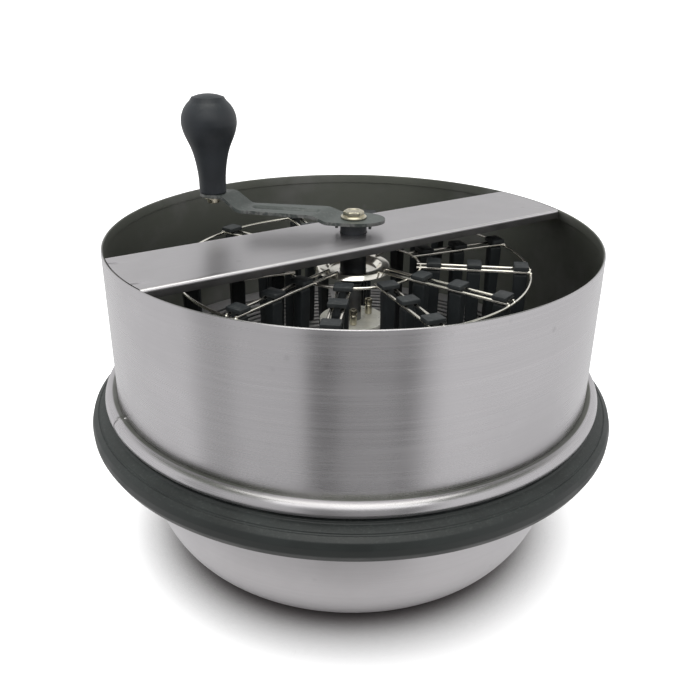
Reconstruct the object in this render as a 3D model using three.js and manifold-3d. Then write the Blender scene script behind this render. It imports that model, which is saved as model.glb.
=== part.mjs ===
// Hand-cranked bowl trimmer, in millimetres, +Z up.
// The origin is the centre of the bowl's flat base, and the cross bar lies along X.

import * as THREE from 'three';
import { mergeVertices } from 'three/addons/utils/BufferGeometryUtils.js';
import Module from 'manifold-3d';

const wasm = await Module();
wasm.setup();

// ---- Driving dimensions -------------------------------------------------------------------

const GAP = 0.3;                 // air between pieces that touch on the real object
const PAST = 1;                  // how far a cut runs past a face, or one solid into another
const ROUND = 40;                // sides of the large round pieces
const SMALL_ROUND = 16;          // sides of shafts and bosses
const CIRCLE = 2 * Math.PI;
const DEGREE = Math.PI / 180;

const rimHeight = 276;           // top edge of the drum above the floor
const drumRadius = 203;
const sheet = 0.9;               // steel sheet of the drum
const hemHeight = 8.5;           // folded hem inside the drum's top edge
const beadRadius = 6.5;          // rolled bead at the drum's foot
const beadCentreRadius = drumRadius + 4;
const beadCentreHeight = rimHeight - 130;
const drumLipRadius = 192;       // inner edge of the lip under the drum

const bowlRadius = 189;
const bowlBaseRadius = 125;
const bowlWall = 1;
const bowlHeight = 129;          // underside of the out-turned rim
const bowlCurve = 2.5;           // exponent of the bowl's rounded side
const bowlRimRadius = 206;

const sealInnerRadius = bowlRadius + 1.3;
const sealOuterRadius = 226;
const sealBottom = 112;
const sealUnderside = 18;        // width of the flat under the ring
const sealLowerEdge = { drop: 1.5, in: 4.5 };
const sealWaist = 8;             // height above the bottom where the outer face turns upright
const sealShoulder = { height: 18, in: 1 };
const sealTopEdge = { height: 23.5, in: 6 };

const grateTop = 154;
const grateThickness = 1;
const grateHole = 6.3;
const slotWidth = 5;
const slotPitch = 25.5;          // every third slot of the finely slotted real grate
const slotFirstRadius = 48;
const slotRows = 6;
const slotSectors = 6;
const ribWidth = 9;

const barWidth = 79.5;
const barLip = 7.5;              // depth of the channel's side lips
const barThickness = 1.5;
const barBend = 2.5;
const barTab = { halfWidth: 15, depth: 18 };

const sleeveRadius = 11;
const sleeveTop = rimHeight + 8.8;
const sleeveBottom = rimHeight - 43;
const keyRadius = 5.5;           // corner radius of the hexagonal key in the sleeve

const armThickness = 2.8;
const armAngle = 142 * DEGREE;   // direction of the crank arm at rest
const armHub = { halfWidth: 17.5, back: 26, front: 18, hole: 5.3 };
const armTip = { halfWidth: 10.5, reach: 117, hole: 4.3 };
const armBends = [17, 27, 91, 104];                       // distances of the bends from the hub
const armSlant = 0.36;           // how far the bends lean along the arm for each mm across it
const armRise = 0.8;             // how far the span slopes either side of its level
const armEar = { inner: 12.6, outer: 15, halfWidth: 3.5, depth: 7.5 };
const hubBolt = { shank: 4.3, length: 32, flange: 10.7, corner: 8.7, head: 5.9 };
const gripBoltSize = { shank: 4, length: 44, head: 5.4, washer: 7.6, washerThickness: 1.6 };
const armLevels = { hub: 11.9, span: 17.4, tip: 29.2 };   // top faces above the rim

const gripTop = 108;             // above the rim
const gripHeadRadius = 22.2;
const gripHeadHeight = 86.5;
const gripNeckRadius = 9.8;
const gripBoreDepth = 46;

const frameHeight = rimHeight - 27;
const wireRadius = 1.2;
const wireSides = 5;
const outerRingRadius = 148;
const innerRingRadius = 57;
const spokeCount = 12;
const spokeFirstAngle = -9 * DEGREE;
const spokeHalfGap = 4.6;        // half the distance between the two wires of a spoke
const fingerRadii = [68, 101.5, 140];
const fingerTip = grateTop + 2.5;
const fingerClip = { halfLength: 6, halfWidth: 7.5, height: 3.6 };
const fingerNeck = { halfLength: 5.2, halfWidth: 2.9 };
const fingerFlap = { topLength: 5.6, topWidth: 4.6, tipLength: 4.4, tipWidth: 2.4 };
const hubDishRise = 5;           // how far the dish's floor lies below its rim
const hubSpokeStart = 26.5;      // where the spokes that reach the dish begin
const spokeOverhang = 3.5;       // how far the other spokes pass inside the inner ring

const coverTop = rimHeight - 77;
const coverThickness = 3;
const coverRadius = 28.5;
const coverFlat = 26;            // distance of the cover's flat edge from the axis
const coverFlatTurn = -33;       // degrees from +X to the middle of the flat edge
const screwCount = 3;
const screwHole = 2.3;
const screwDepth = 12;
const housingRadius = 27;
const screwCircle = 16.7;
const screwTop = coverTop + 14;

const gearModule = 1;
const sunTeeth = 15;
const planetTeeth = 15;
const ringTeeth = sunTeeth + 2 * planetTeeth;
const planetCount = 3;
const planetCircle = gearModule * (sunTeeth + planetTeeth) / 2;
const gearBottom = grateTop + 1.2;
const gearHeight = 11.6;
const toothPlay = 0.32;          // backlash along the pitch circle
const carrierRadius = 19.5;
const inputRadius = 7.5;
const pinRadius = 3;
const carrierThickness = 3.8;
const carrierRoom = 5.4;         // height of the carrier's chamber above the gears

const bladeRadius = 185;
const bladeWidth = 20;
const bladeThickness = 1.6;
const straightBladeTop = grateTop - 1.9;
const spindleRadius = 6;
const squareSide = 8.4;          // square on the spindle that drives the blades
const threadRadius = 3.5;
const groundWidth = 5;           // width of the straight blade's ground edge
const edgeStart = 36;            // distance from the axis where the ground edge begins
const firstTooth = 40;
const toothDepth = 4;
const nutSize = { corner: 7.5, height: 5.2 };
const toothRows = 14;            // serrations on each half of the serrated blade

// ---- Materials ----------------------------------------------------------------------------

const finish = (color, roughness, metalness) => ({ color, roughness, metalness });
const brushedSteel = finish(0xa9a8ab, 0.35, 1);
const brightSteel = finish(0xd8d8d2, 0.2, 1);
const bladeSteel = finish(0xb9bcbf, 0.3, 1);
const zinc = finish(0xc9c5ae, 0.4, 0.9);
const gearSteel = finish(0x8b8d8f, 0.45, 0.9);
const paintedArm = finish(0x34393b, 0.45, 0.3);
const blackRubber = finish(0x23272a, 0.75, 0);
const fingerRubber = finish(0x1c1f22, 0.6, 0);
const blackPlastic = finish(0x2b2f33, 0.5, 0);

// ---- Solids -------------------------------------------------------------------------------

// Indexed positions with shared corners and without triangles that have shrunk to a line.
function welded(geometry) {
  const bare = new THREE.BufferGeometry();
  bare.setAttribute('position', geometry.getAttribute('position').clone());
  if (geometry.index) bare.setIndex(geometry.index.clone());
  const merged = mergeVertices(bare, 1e-4);
  const source = merged.index.array;
  const kept = [];
  for (let i = 0; i < source.length; i += 3) {
    const [a, b, c] = [source[i], source[i + 1], source[i + 2]];
    if (a !== b && b !== c && c !== a) kept.push(a, b, c);
  }
  merged.setIndex(kept);
  return merged;
}

function signedVolume(geometry) {
  const p = geometry.getAttribute('position');
  const index = geometry.index.array;
  const [a, b, c] = [new THREE.Vector3(), new THREE.Vector3(), new THREE.Vector3()];
  let sum = 0;
  for (let i = 0; i < index.length; i += 3) {
    a.fromBufferAttribute(p, index[i]);
    b.fromBufferAttribute(p, index[i + 1]);
    c.fromBufferAttribute(p, index[i + 2]);
    sum += a.dot(b.cross(c));
  }
  return sum / 6;
}

function solid(geometry) {
  const clean = welded(geometry);
  const corners = Array.from(clean.index.array);
  if (signedVolume(clean) < 0) corners.reverse();
  return new wasm.Manifold(new wasm.Mesh({
    numProp: 3,
    vertProperties: Float32Array.from(clean.getAttribute('position').array),
    triVerts: Uint32Array.from(corners),
  }));
}

function geometryOf(shape) {
  const mesh = shape.getMesh();
  const geometry = new THREE.BufferGeometry();
  geometry.setAttribute('position', new THREE.BufferAttribute(Float32Array.from(mesh.vertProperties), 3));
  geometry.setIndex(Array.from(mesh.triVerts));
  geometry.computeVertexNormals();
  return geometry;
}

// A profile of [radius, height] corners turned about Z.
function turned(profile, sides = ROUND) {
  const points = profile.map(([radius, height]) => new THREE.Vector2(radius, height));
  return solid(new THREE.LatheGeometry(points, sides).rotateX(Math.PI / 2));
}

// A closed profile, such as a ring's section, turned about Z.
function turnedRing(profile, sides = ROUND) {
  return turned([...profile, profile[0]], sides);
}

function rod(radius, bottom, top, sides = SMALL_ROUND) {
  const geometry = new THREE.CylinderGeometry(radius, radius, top - bottom, sides);
  return solid(geometry.rotateX(Math.PI / 2).translate(0, 0, (bottom + top) / 2));
}

function block(low, high) {
  const size = high.map((value, i) => value - low[i]);
  const middle = high.map((value, i) => (value + low[i]) / 2);
  return solid(new THREE.BoxGeometry(...size).translate(...middle));
}

function prism(outline, bottom, top, curveSegments = 6) {
  const shape = outline instanceof THREE.Shape ? outline
    : new THREE.Shape(outline.map(([x, y]) => new THREE.Vector2(x, y)));
  const geometry = new THREE.ExtrudeGeometry(shape, {
    depth: top - bottom, bevelEnabled: false, curveSegments,
  });
  return solid(geometry.translate(0, 0, bottom));
}

function wire(from, to) {
  const start = new THREE.Vector3(...from);
  const run = new THREE.Vector3(...to).sub(start);
  const geometry = new THREE.CylinderGeometry(wireRadius, wireRadius, run.length(), wireSides);
  const turn = new THREE.Quaternion().setFromUnitVectors(
    new THREE.Vector3(0, 1, 0), run.clone().normalize());
  geometry.applyQuaternion(turn).translate(...start.addScaledVector(run, 0.5).toArray());
  return solid(geometry);
}

function hoop(radius, height, sides) {
  return solid(new THREE.TorusGeometry(radius, wireRadius, wireSides, sides).translate(0, 0, height));
}

function arcPoints(centreX, centreY, radius, fromDegrees, toDegrees, steps) {
  const points = [];
  for (let i = 0; i <= steps; i += 1) {
    const angle = (fromDegrees + (toDegrees - fromDegrees) * i / steps) * DEGREE;
    points.push([centreX + radius * Math.cos(angle), centreY + radius * Math.sin(angle)]);
  }
  return points;
}

// ---- Bowl ---------------------------------------------------------------------------------

// Points up the bowl's side, from the edge of the flat base to the top of the wall.
function bowlSide(baseRadius, topRadius, bottom, steps) {
  const points = [];
  for (let i = 0; i <= steps; i += 1) {
    const angle = (1 - i / steps) * Math.PI / 2;
    const across = Math.cos(angle) ** (2 / bowlCurve);
    const down = Math.sin(angle) ** (2 / bowlCurve);
    points.push([
      baseRadius + (topRadius - baseRadius) * across,
      bottom + (bowlHeight - bottom) * (1 - down),
    ]);
  }
  return points;
}

function bowl() {
  const steps = 6;
  const outside = bowlSide(bowlBaseRadius, bowlRadius, 0, steps);
  const inside = bowlSide(bowlBaseRadius - bowlWall, bowlRadius - bowlWall, bowlWall, steps);
  inside[steps][1] = bowlHeight + bowlWall;
  return turned([
    [0, 0],
    ...outside,
    [bowlRimRadius, bowlHeight],
    [bowlRimRadius, bowlHeight + bowlWall],
    ...inside.reverse(),
    [0, bowlWall],
  ]);
}

function rimSealRing() {
  const top = beadCentreHeight - beadRadius - GAP;
  const grooveRadius = bowlRimRadius + GAP;
  return turnedRing([
    [sealInnerRadius, sealBottom + 4],
    [sealInnerRadius + 6, sealBottom],
    [sealInnerRadius + sealUnderside, sealBottom],
    [sealOuterRadius - sealLowerEdge.in, sealBottom + sealLowerEdge.drop],
    [sealOuterRadius - 1, sealBottom + sealWaist],
    [sealOuterRadius, sealBottom + 14],
    [sealOuterRadius - sealShoulder.in, sealBottom + sealShoulder.height],
    [sealOuterRadius - sealTopEdge.in, sealBottom + sealTopEdge.height],
    [beadCentreRadius + 1, top],
    [sealInnerRadius, top],
    [sealInnerRadius, bowlHeight + bowlWall + GAP],
    [grooveRadius, bowlHeight + bowlWall + GAP],
    [grooveRadius, bowlHeight - GAP],
    [sealInnerRadius, bowlHeight - GAP],
  ]);
}

// ---- Drum ---------------------------------------------------------------------------------

function drumWall() {
  const inner = drumRadius - sheet;
  const beadInside = beadRadius - sheet;
  const outerStart = Math.acos((drumRadius - beadCentreRadius) / beadRadius) / DEGREE;
  const innerEnd = Math.acos((inner - beadCentreRadius) / beadInside) / DEGREE;
  const hemBottom = rimHeight - hemHeight;
  return turnedRing([
    [drumRadius, rimHeight],
    ...arcPoints(beadCentreRadius, beadCentreHeight, beadRadius, outerStart, -90, 5),
    [drumLipRadius, beadCentreHeight - beadRadius],
    [drumLipRadius, beadCentreHeight - beadInside],
    ...arcPoints(beadCentreRadius, beadCentreHeight, beadInside, -90, innerEnd, 5),
    [inner, hemBottom],
    [inner - sheet, hemBottom],
    [inner - sheet, rimHeight],
  ]);
}

// The channel's section across Y, with rounded bends, run along X.
function channel(length) {
  const half = barWidth / 2;
  const bend = barBend;
  const inside = bend - barThickness;
  const low = rimHeight - barLip;
  const right = [
    [half, low],
    ...arcPoints(half - bend, rimHeight - bend, bend, 0, 90, 3),
  ];
  const rightInside = [
    [half - barThickness, low],
    ...arcPoints(half - bend, rimHeight - bend, inside, 0, 90, 2),
  ];
  const mirrored = (points) => points.map(([y, z]) => [-y, z]).reverse();
  const inner = [...mirrored(rightInside).reverse(), ...rightInside.reverse()];
  const section = [...right, ...mirrored(right), ...inner];
  const shape = new THREE.Shape(section.map(([y, z]) => new THREE.Vector2(y, z)));
  const geometry = new THREE.ExtrudeGeometry(shape, { depth: length, bevelEnabled: false });
  geometry.rotateX(Math.PI / 2).rotateZ(Math.PI / 2).translate(-length / 2, 0, 0);
  return solid(geometry);
}

function crossBar() {
  const endRadius = drumRadius - 2 * sheet - GAP;
  const low = rimHeight - barTab.depth - PAST;
  const high = rimHeight + PAST;
  const round = rod(endRadius, low, high, ROUND);
  const hollow = rod(endRadius - barThickness, low - PAST, high + PAST, ROUND);
  const tabStrip = block(
    [-drumRadius, -barTab.halfWidth, rimHeight - barTab.depth],
    [drumRadius, barTab.halfWidth, rimHeight - barThickness / 2]);
  const tabs = round.subtract(hollow).intersect(tabStrip);
  const hole = rod(sleeveRadius + 2 * GAP, low, high);
  return channel(2 * drumRadius).intersect(round).add(tabs).subtract(hole);
}

function slotShape(radius, sector) {
  const step = CIRCLE / slotSectors;
  const half = ribWidth / 2 / radius;
  const from = sector * step + half;
  const to = (sector + 1) * step - half;
  const shape = new THREE.Shape();
  shape.absarc(0, 0, radius + slotWidth, from, to, false);
  shape.absarc(0, 0, radius, to, from, true);
  return shape;
}

function grate() {
  const skirtRadius = drumRadius - sheet - 2 * GAP;
  const skirtBottom = beadCentreHeight - beadRadius + sheet + GAP;
  const bottom = grateTop - grateThickness;
  const arcSteps = 3;
  let body = rod(skirtRadius, skirtBottom, grateTop, ROUND)
    .subtract(rod(skirtRadius - grateThickness, skirtBottom - PAST, bottom, ROUND))
    .subtract(rod(grateHole, bottom - PAST, grateTop + PAST));
  for (let row = 0; row < slotRows; row += 1) {
    for (let sector = 0; sector < slotSectors; sector += 1) {
      const shape = slotShape(slotFirstRadius + row * slotPitch, sector);
      body = body.subtract(prism(shape, bottom - PAST, grateTop + PAST, arcSteps));
    }
  }
  return body;
}

// ---- Gearbox ------------------------------------------------------------------------------

// Corners round a gear: each tooth has a flat top and straight flanks down to the root.
function gearOutline(teeth, rootRadius, tipRadius, rootHalf, tipHalf, phase) {
  const corners = [];
  for (let tooth = 0; tooth < teeth; tooth += 1) {
    const middle = phase + tooth * CIRCLE / teeth;
    for (const [radius, half] of [[rootRadius, -rootHalf], [tipRadius, -tipHalf],
      [tipRadius, tipHalf], [rootRadius, rootHalf]]) {
      const angle = middle + half / radius;
      corners.push([radius * Math.cos(angle), radius * Math.sin(angle)]);
    }
  }
  return corners;
}

function outerGear(teeth) {
  const pitchRadius = gearModule * teeth / 2;
  const play = toothPlay / 2;
  return gearOutline(teeth, pitchRadius - 1.25 * gearModule, pitchRadius + gearModule,
    1.0 * gearModule - play, 0.42 * gearModule - play / 2, 0);
}

// The room inside the ring gear: its corners lie where the planets' teeth pass.
function ringSpace() {
  const pitchRadius = gearModule * ringTeeth / 2;
  return gearOutline(ringTeeth, pitchRadius - 0.8 * gearModule, pitchRadius + 1.3 * gearModule,
    1.1 * gearModule, 0.5 * gearModule, 0);
}

function gearboxHousing() {
  const bottom = grateTop + GAP;
  const top = coverTop - coverThickness - GAP;
  const gearRoof = gearBottom + gearHeight + GAP;
  let body = rod(housingRadius, bottom, top, 28)
    .subtract(prism(ringSpace(), bottom - PAST, gearRoof))
    .subtract(rod(carrierRadius + PAST, bottom, gearRoof + carrierRoom, 24))
    .subtract(rod(inputRadius + GAP, bottom, top + PAST));
  return withScrewHoles(body, top - screwDepth - PAST, top + PAST);
}

function withScrewHoles(body, bottom, top) {
  let drilled = body;
  for (let i = 0; i < screwCount; i += 1) {
    const hole = rod(screwHole, bottom, top, 8).translate(screwCircle, 0, 0);
    drilled = drilled.subtract(hole.rotate(0, 0, 360 / screwCount * i));
  }
  return drilled;
}

function gearboxCover() {
  const bottom = coverTop - coverThickness;
  const disc = rod(coverRadius, bottom, coverTop, 32);
  const low = bottom - PAST;
  const high = coverTop + PAST;
  const beyondFlat = block([coverFlat, -coverRadius, low], [2 * coverRadius, coverRadius, high]);
  const plate = disc
    .subtract(beyondFlat.rotate(0, 0, coverFlatTurn))
    .subtract(rod(inputRadius + GAP, low, high));
  return withScrewHoles(plate, low, high);
}

function coverScrew() {
  const thread = 2;
  const bottom = coverTop - coverThickness - screwDepth;
  return turned([
    [0, bottom],
    [thread, bottom],
    [thread, coverTop + GAP],
    [3, coverTop + GAP],
    [3, screwTop - 6],
    [2.5, screwTop - 5],
    [3.3, screwTop - 4],
    [3.3, screwTop - 0.8],
    [2.6, screwTop],
    [0, screwTop],
  ], 10);
}

function planetCarrier() {
  const discBottom = gearBottom + gearHeight + PAST;
  const discTop = discBottom + carrierThickness;
  const keyTop = sleeveBottom + 17;
  let body = rod(carrierRadius, discBottom, discTop, 24)
    .add(rod(inputRadius, discTop - PAST, sleeveBottom - GAP))
    .add(rod(keyRadius - GAP, sleeveBottom - PAST, keyTop, 6));
  for (let i = 0; i < planetCount; i += 1) {
    const pin = rod(pinRadius, gearBottom, discBottom + PAST, 12).translate(planetCircle, 0, 0);
    body = body.add(pin.rotate(0, 0, 360 / planetCount * i));
  }
  return body;
}

function planetGear() {
  return prism(outerGear(planetTeeth), gearBottom, gearBottom + gearHeight)
    .subtract(rod(pinRadius + GAP, gearBottom - PAST, gearBottom + gearHeight + PAST, 12));
}

// ---- Blades -------------------------------------------------------------------------------

function bladeSpindle() {
  const squareTop = straightBladeTop + GAP;
  const squareBottom = squareTop - 2 * bladeThickness - 3 * GAP;
  const threadLength = nutSize.height + 2;
  const half = squareSide / 2;
  return prism(outerGear(sunTeeth), gearBottom, gearBottom + gearHeight)
    .add(rod(spindleRadius, squareTop, gearBottom + PAST))
    .add(block([-half, -half, squareBottom], [half, half, squareTop + PAST]))
    .add(rod(threadRadius, squareBottom - threadLength, squareBottom + PAST, 12));
}

function squareHole(bottom, top) {
  const half = squareSide / 2 + GAP;
  return block([-half, -half, bottom - PAST], [half, half, top + PAST]);
}

// A bar with a ground edge on the leading side of each half.
function straightBlade() {
  const top = straightBladeTop;
  const bottom = top - bladeThickness;
  const half = bladeWidth / 2;
  const wedge = new THREE.Shape([
    new THREE.Vector2(half + PAST, bottom - GAP),
    new THREE.Vector2(half + PAST, top),
    new THREE.Vector2(half - groundWidth, bottom - GAP),
  ]);
  const length = bladeRadius - edgeStart - 4;
  const cut = new THREE.ExtrudeGeometry(wedge, { depth: length, bevelEnabled: false });
  cut.rotateX(Math.PI / 2).rotateZ(Math.PI / 2).translate(edgeStart, 0, 0);
  const edge = solid(cut);
  return block([-bladeRadius, -half, bottom], [bladeRadius, half, top])
    .subtract(squareHole(bottom, top))
    .subtract(edge)
    .subtract(edge.rotate(0, 0, 180));
}

// The leading side of each half is cut into pointed teeth.
function serratedBlade() {
  const top = straightBladeTop - bladeThickness - GAP;
  const bottom = top - bladeThickness;
  const half = bladeWidth / 2;
  const pitch = (bladeRadius - firstTooth) / toothRows;
  const outline = [[bladeRadius, -half], [bladeRadius, half]];
  for (let i = toothRows - 1; i >= 0; i -= 1) {
    outline.push([firstTooth + (i + 0.5) * pitch, half - toothDepth]);
    outline.push([firstTooth + i * pitch, half]);
  }
  const otherHalf = outline.map(([x, y]) => [-x, -y]);
  return prism([...outline, ...otherHalf], bottom, top).subtract(squareHole(bottom, top));
}

function bladeNut() {
  const top = straightBladeTop - 2 * bladeThickness - 2 * GAP;
  const bottom = top - nutSize.height;
  const hole = rod(threadRadius + GAP, bottom - PAST, top + PAST, 12);
  return rod(nutSize.corner, bottom, top, 6).subtract(hole);
}

// ---- Crank --------------------------------------------------------------------------------

// The arm is made along +X, with the crank's axis at the origin.
function armPlan() {
  const { halfWidth, back, front } = armHub;
  const bulge = 2;
  const nose = { x: 8 - back, y: 10 };
  const shape = new THREE.Shape();
  shape.moveTo(front, bulge - halfWidth);
  shape.lineTo(armTip.reach, -armTip.halfWidth);
  shape.absarc(armTip.reach, 0, armTip.halfWidth, -Math.PI / 2, Math.PI / 2, false);
  shape.lineTo(front, halfWidth - bulge);
  shape.quadraticCurveTo(0, halfWidth + bulge, nose.x, nose.y);
  shape.quadraticCurveTo(-back - 2 * bulge, 0, nose.x, -nose.y);
  shape.quadraticCurveTo(0, -halfWidth - bulge, front, bulge - halfWidth);
  return shape;
}

function armSide() {
  const past = armSlant * 2 * armHub.halfWidth;
  const levels = [
    [-armHub.back - past, armLevels.hub],
    [armBends[0], armLevels.hub],
    [armBends[1], armLevels.span - armRise],
    [armBends[2], armLevels.span + armRise],
    [armBends[3], armLevels.tip],
    [armTip.reach + armTip.halfWidth + past, armLevels.tip],
  ];
  const top = levels.map(([x, z]) => new THREE.Vector2(x, rimHeight + z));
  const under = levels.map(([x, z]) => new THREE.Vector2(x, rimHeight + z - armThickness));
  return new THREE.Shape([...top, ...under.reverse()]);
}

function crankArm() {
  const width = 4 * armHub.halfWidth;
  const side = new THREE.ExtrudeGeometry(armSide(), { depth: width, bevelEnabled: false });
  side.rotateX(Math.PI / 2).translate(0, width / 2, 0);
  side.applyMatrix4(new THREE.Matrix4().makeShear(0, 0, armSlant, 0, 0, 0));
  const hubTop = rimHeight + armLevels.hub;
  const tipTop = rimHeight + armLevels.tip;
  const hubHole = rod(armHub.hole, rimHeight, hubTop + PAST, 12);
  const tipHole = rod(armTip.hole, rimHeight, tipTop + PAST, 12).translate(armTip.reach, 0, 0);
  const earTop = hubTop - PAST;
  const ear = block(
    [armEar.inner, -armEar.halfWidth, earTop - armEar.depth],
    [armEar.outer, armEar.halfWidth, earTop]);
  return solid(side)
    .intersect(prism(armPlan(), rimHeight, tipTop + PAST, 6))
    .add(ear)
    .add(ear.rotate(0, 0, 180))
    .subtract(hubHole)
    .subtract(tipHole);
}

function crankBolt() {
  const seat = rimHeight + armLevels.hub + GAP;
  const flange = turned([
    [0, seat - hubBolt.length],
    [hubBolt.shank, seat - hubBolt.length],
    [hubBolt.shank, seat],
    [hubBolt.flange, seat],
    [hubBolt.flange, seat + 1.6],
    [hubBolt.flange - 1.8, seat + 2.2],
    [0, seat + 2.2],
  ], 18);
  return flange.add(rod(hubBolt.corner, seat + PAST, seat + hubBolt.head, 6));
}

function driveSleeve() {
  return rod(sleeveRadius, sleeveBottom, sleeveTop, 20)
    .subtract(rod(keyRadius, sleeveBottom - PAST, sleeveTop + PAST, 6));
}

function gripBolt() {
  const plate = rimHeight + armLevels.tip;
  const under = plate - armThickness - GAP;
  const washerBottom = under - gripBoltSize.washerThickness;
  const headBottom = under - 5.5;
  const end = plate + gripBoltSize.length;
  return turned([
    [0, headBottom],
    [gripBoltSize.head - 0.4, headBottom],
    [gripBoltSize.head, washerBottom],
    [gripBoltSize.washer, washerBottom],
    [gripBoltSize.washer, under],
    [gripBoltSize.shank, under],
    [gripBoltSize.shank, end],
    [0, end],
  ], 14);
}

// A pear-shaped grip with a blind bore for its bolt.
function grip() {
  const base = rimHeight + armLevels.tip + GAP;
  const bore = gripBoltSize.shank + GAP;
  const top = rimHeight + gripTop;
  const head = rimHeight + gripHeadHeight;
  const headRise = top - head;
  return turned([
    [bore, base],
    [gripNeckRadius, base],
    [gripNeckRadius - 0.3, base + 10],
    [gripNeckRadius + 1.2, base + 22],
    [gripHeadRadius - 6.6, head - 22],
    [gripHeadRadius - 1.6, head - 10],
    [gripHeadRadius, head],
    [gripHeadRadius - 2.6, head + headRise * 0.45],
    [gripHeadRadius - 9, head + headRise * 0.84],
    [8, top - 0.8],
    [0, top],
    [0, base + gripBoreDepth],
    [bore, base + gripBoreDepth],
    [bore, base],
  ], 20);
}

// ---- Tumbler ------------------------------------------------------------------------------

// A shallow polished dish with a rolled edge, round the drive sleeve.
function hubDish() {
  const hole = sleeveRadius + GAP;
  const rim = frameHeight - 0.5;
  const floor = rim - hubDishRise;
  return turnedRing([
    [hole, floor - 1.4],
    [21.5, floor - 1.4],
    [24.6, rim - 1.6],
    [28.6, rim - 1.6],
    [31.6, floor],
    [33.2, floor + 0.6],
    [30.6, rim],
    [24, rim],
    [20.6, floor],
    [hole, floor],
  ], 20);
}

// Every third spoke runs on to the hub; the others end just inside the inner ring.
function tumblerFrame() {
  const ringHeight = frameHeight - 1.7;
  const inner = innerRingRadius - spokeOverhang;
  const step = 360 / spokeCount;
  let body = hoop(outerRingRadius, ringHeight, 36)
    .add(hoop(innerRingRadius, ringHeight, 20))
    .add(hubDish());
  for (let i = 0; i < spokeCount; i += 1) {
    const start = i % 3 === 1 ? hubSpokeStart : inner;
    for (const side of [-spokeHalfGap, spokeHalfGap]) {
      const rail = wire([start, side, frameHeight], [outerRingRadius, side, frameHeight]);
      body = body.add(rail.rotate(0, 0, spokeFirstAngle / DEGREE + step * i));
    }
  }
  return body;
}

// A finger: a clip over the two wires, a neck between them and a tapered flexible flap.
function finger() {
  const clipBottom = frameHeight + wireRadius + 0.5;
  const neckBottom = frameHeight - wireRadius - 1;
  const sections = [
    [fingerFlap.tipLength, fingerFlap.tipWidth, fingerTip],
    [fingerFlap.topLength, fingerFlap.topWidth, neckBottom - 2],
    [fingerNeck.halfLength, fingerNeck.halfWidth, neckBottom],
    [fingerNeck.halfLength, fingerNeck.halfWidth, clipBottom],
    [fingerClip.halfLength, fingerClip.halfWidth, clipBottom + 0.2],
    [fingerClip.halfLength, fingerClip.halfWidth, clipBottom + fingerClip.height],
  ];
  const positions = [];
  for (const [along, across, height] of sections) {
    positions.push(-along, -across, height, along, -across, height);
    positions.push(along, across, height, -along, across, height);
  }
  const index = [0, 2, 1, 0, 3, 2];
  for (let level = 0; level < sections.length - 1; level += 1) {
    for (let side = 0; side < 4; side += 1) {
      const a = level * 4 + side;
      const b = level * 4 + (side + 1) % 4;
      index.push(a, b, b + 4, a, b + 4, a + 4);
    }
  }
  const last = (sections.length - 1) * 4;
  index.push(last, last + 1, last + 2, last, last + 2, last + 3);
  const geometry = new THREE.BufferGeometry();
  geometry.setAttribute('position', new THREE.Float32BufferAttribute(positions, 3));
  geometry.setIndex(index);
  return solid(geometry);
}

// ---- Assembly -----------------------------------------------------------------------------

function piece(name, shape, look) {
  const mesh = new THREE.Mesh(geometryOf(shape), new THREE.MeshStandardMaterial(look));
  mesh.name = name;
  return mesh;
}

function turnedGroup(angle, ...children) {
  const group = new THREE.Group();
  group.rotation.z = angle;
  group.add(...children);
  return group;
}

const bowlGroup = new THREE.Group();
bowlGroup.add(
  piece('bowl', bowl(), brushedSteel),
  piece('rim_seal_ring', rimSealRing(), blackRubber),
);

const drumGroup = new THREE.Group();
drumGroup.add(
  piece('drum_wall', drumWall(), brushedSteel),
  piece('cross_bar', crossBar(), brushedSteel),
  piece('grate', grate(), brushedSteel),
  piece('gearbox_housing', gearboxHousing(), zinc),
  piece('gearbox_cover', gearboxCover(), zinc),
);
for (let i = 0; i < screwCount; i += 1) {
  const screw = piece(`cover_screw_${i + 1}`, coverScrew(), zinc);
  screw.position.x = screwCircle;
  drumGroup.add(turnedGroup(i * CIRCLE / screwCount, screw));
}

const rotorGroup = new THREE.Group();
rotorGroup.add(
  piece('drive_sleeve', driveSleeve(), blackPlastic),
  piece('crank_bolt', crankBolt(), zinc),
  piece('tumbler_frame', tumblerFrame(), brightSteel),
  piece('planet_carrier', planetCarrier(), gearSteel),
);
const gripBoltPiece = piece('grip_bolt', gripBolt(), zinc);
const gripPiece = piece('grip', grip(), blackPlastic);
gripBoltPiece.position.x = armTip.reach;
gripPiece.position.x = armTip.reach;
rotorGroup.add(turnedGroup(armAngle, piece('crank_arm', crankArm(), paintedArm), gripBoltPiece, gripPiece));

for (let spoke = 0; spoke < spokeCount; spoke += 1) {
  const fingers = fingerRadii.map((radius, row) => {
    const number = String(spoke + 1).padStart(2, '0');
    const mesh = piece(`finger_${number}_${row + 1}`, finger(), fingerRubber);
    mesh.position.x = radius;
    return mesh;
  });
  rotorGroup.add(turnedGroup(spokeFirstAngle + spoke * CIRCLE / spokeCount, ...fingers));
}

for (let i = 0; i < planetCount; i += 1) {
  const planet = piece(`planet_gear_${i + 1}`, planetGear(), gearSteel);
  planet.position.x = planetCircle;
  rotorGroup.add(turnedGroup(i * CIRCLE / planetCount, planet));
}

const bladeGroup = new THREE.Group();
const serrated = piece('serrated_blade', serratedBlade(), bladeSteel);
serrated.rotation.z = Math.PI / 2;
bladeGroup.add(
  piece('blade_spindle', bladeSpindle(), gearSteel),
  piece('straight_blade', straightBlade(), bladeSteel),
  serrated,
  piece('blade_nut', bladeNut(), zinc),
);

const trimmer = new THREE.Group();
trimmer.add(bowlGroup, drumGroup, rotorGroup, bladeGroup);

export default trimmer;
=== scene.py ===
"""Finished look of a hand-cranked bowl trimmer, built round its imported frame. Lengths are in metres."""

import math
import random

import bmesh
import bpy
from bpy.props import FloatProperty, FloatVectorProperty, PointerProperty
from mathutils import Matrix, Vector


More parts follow.
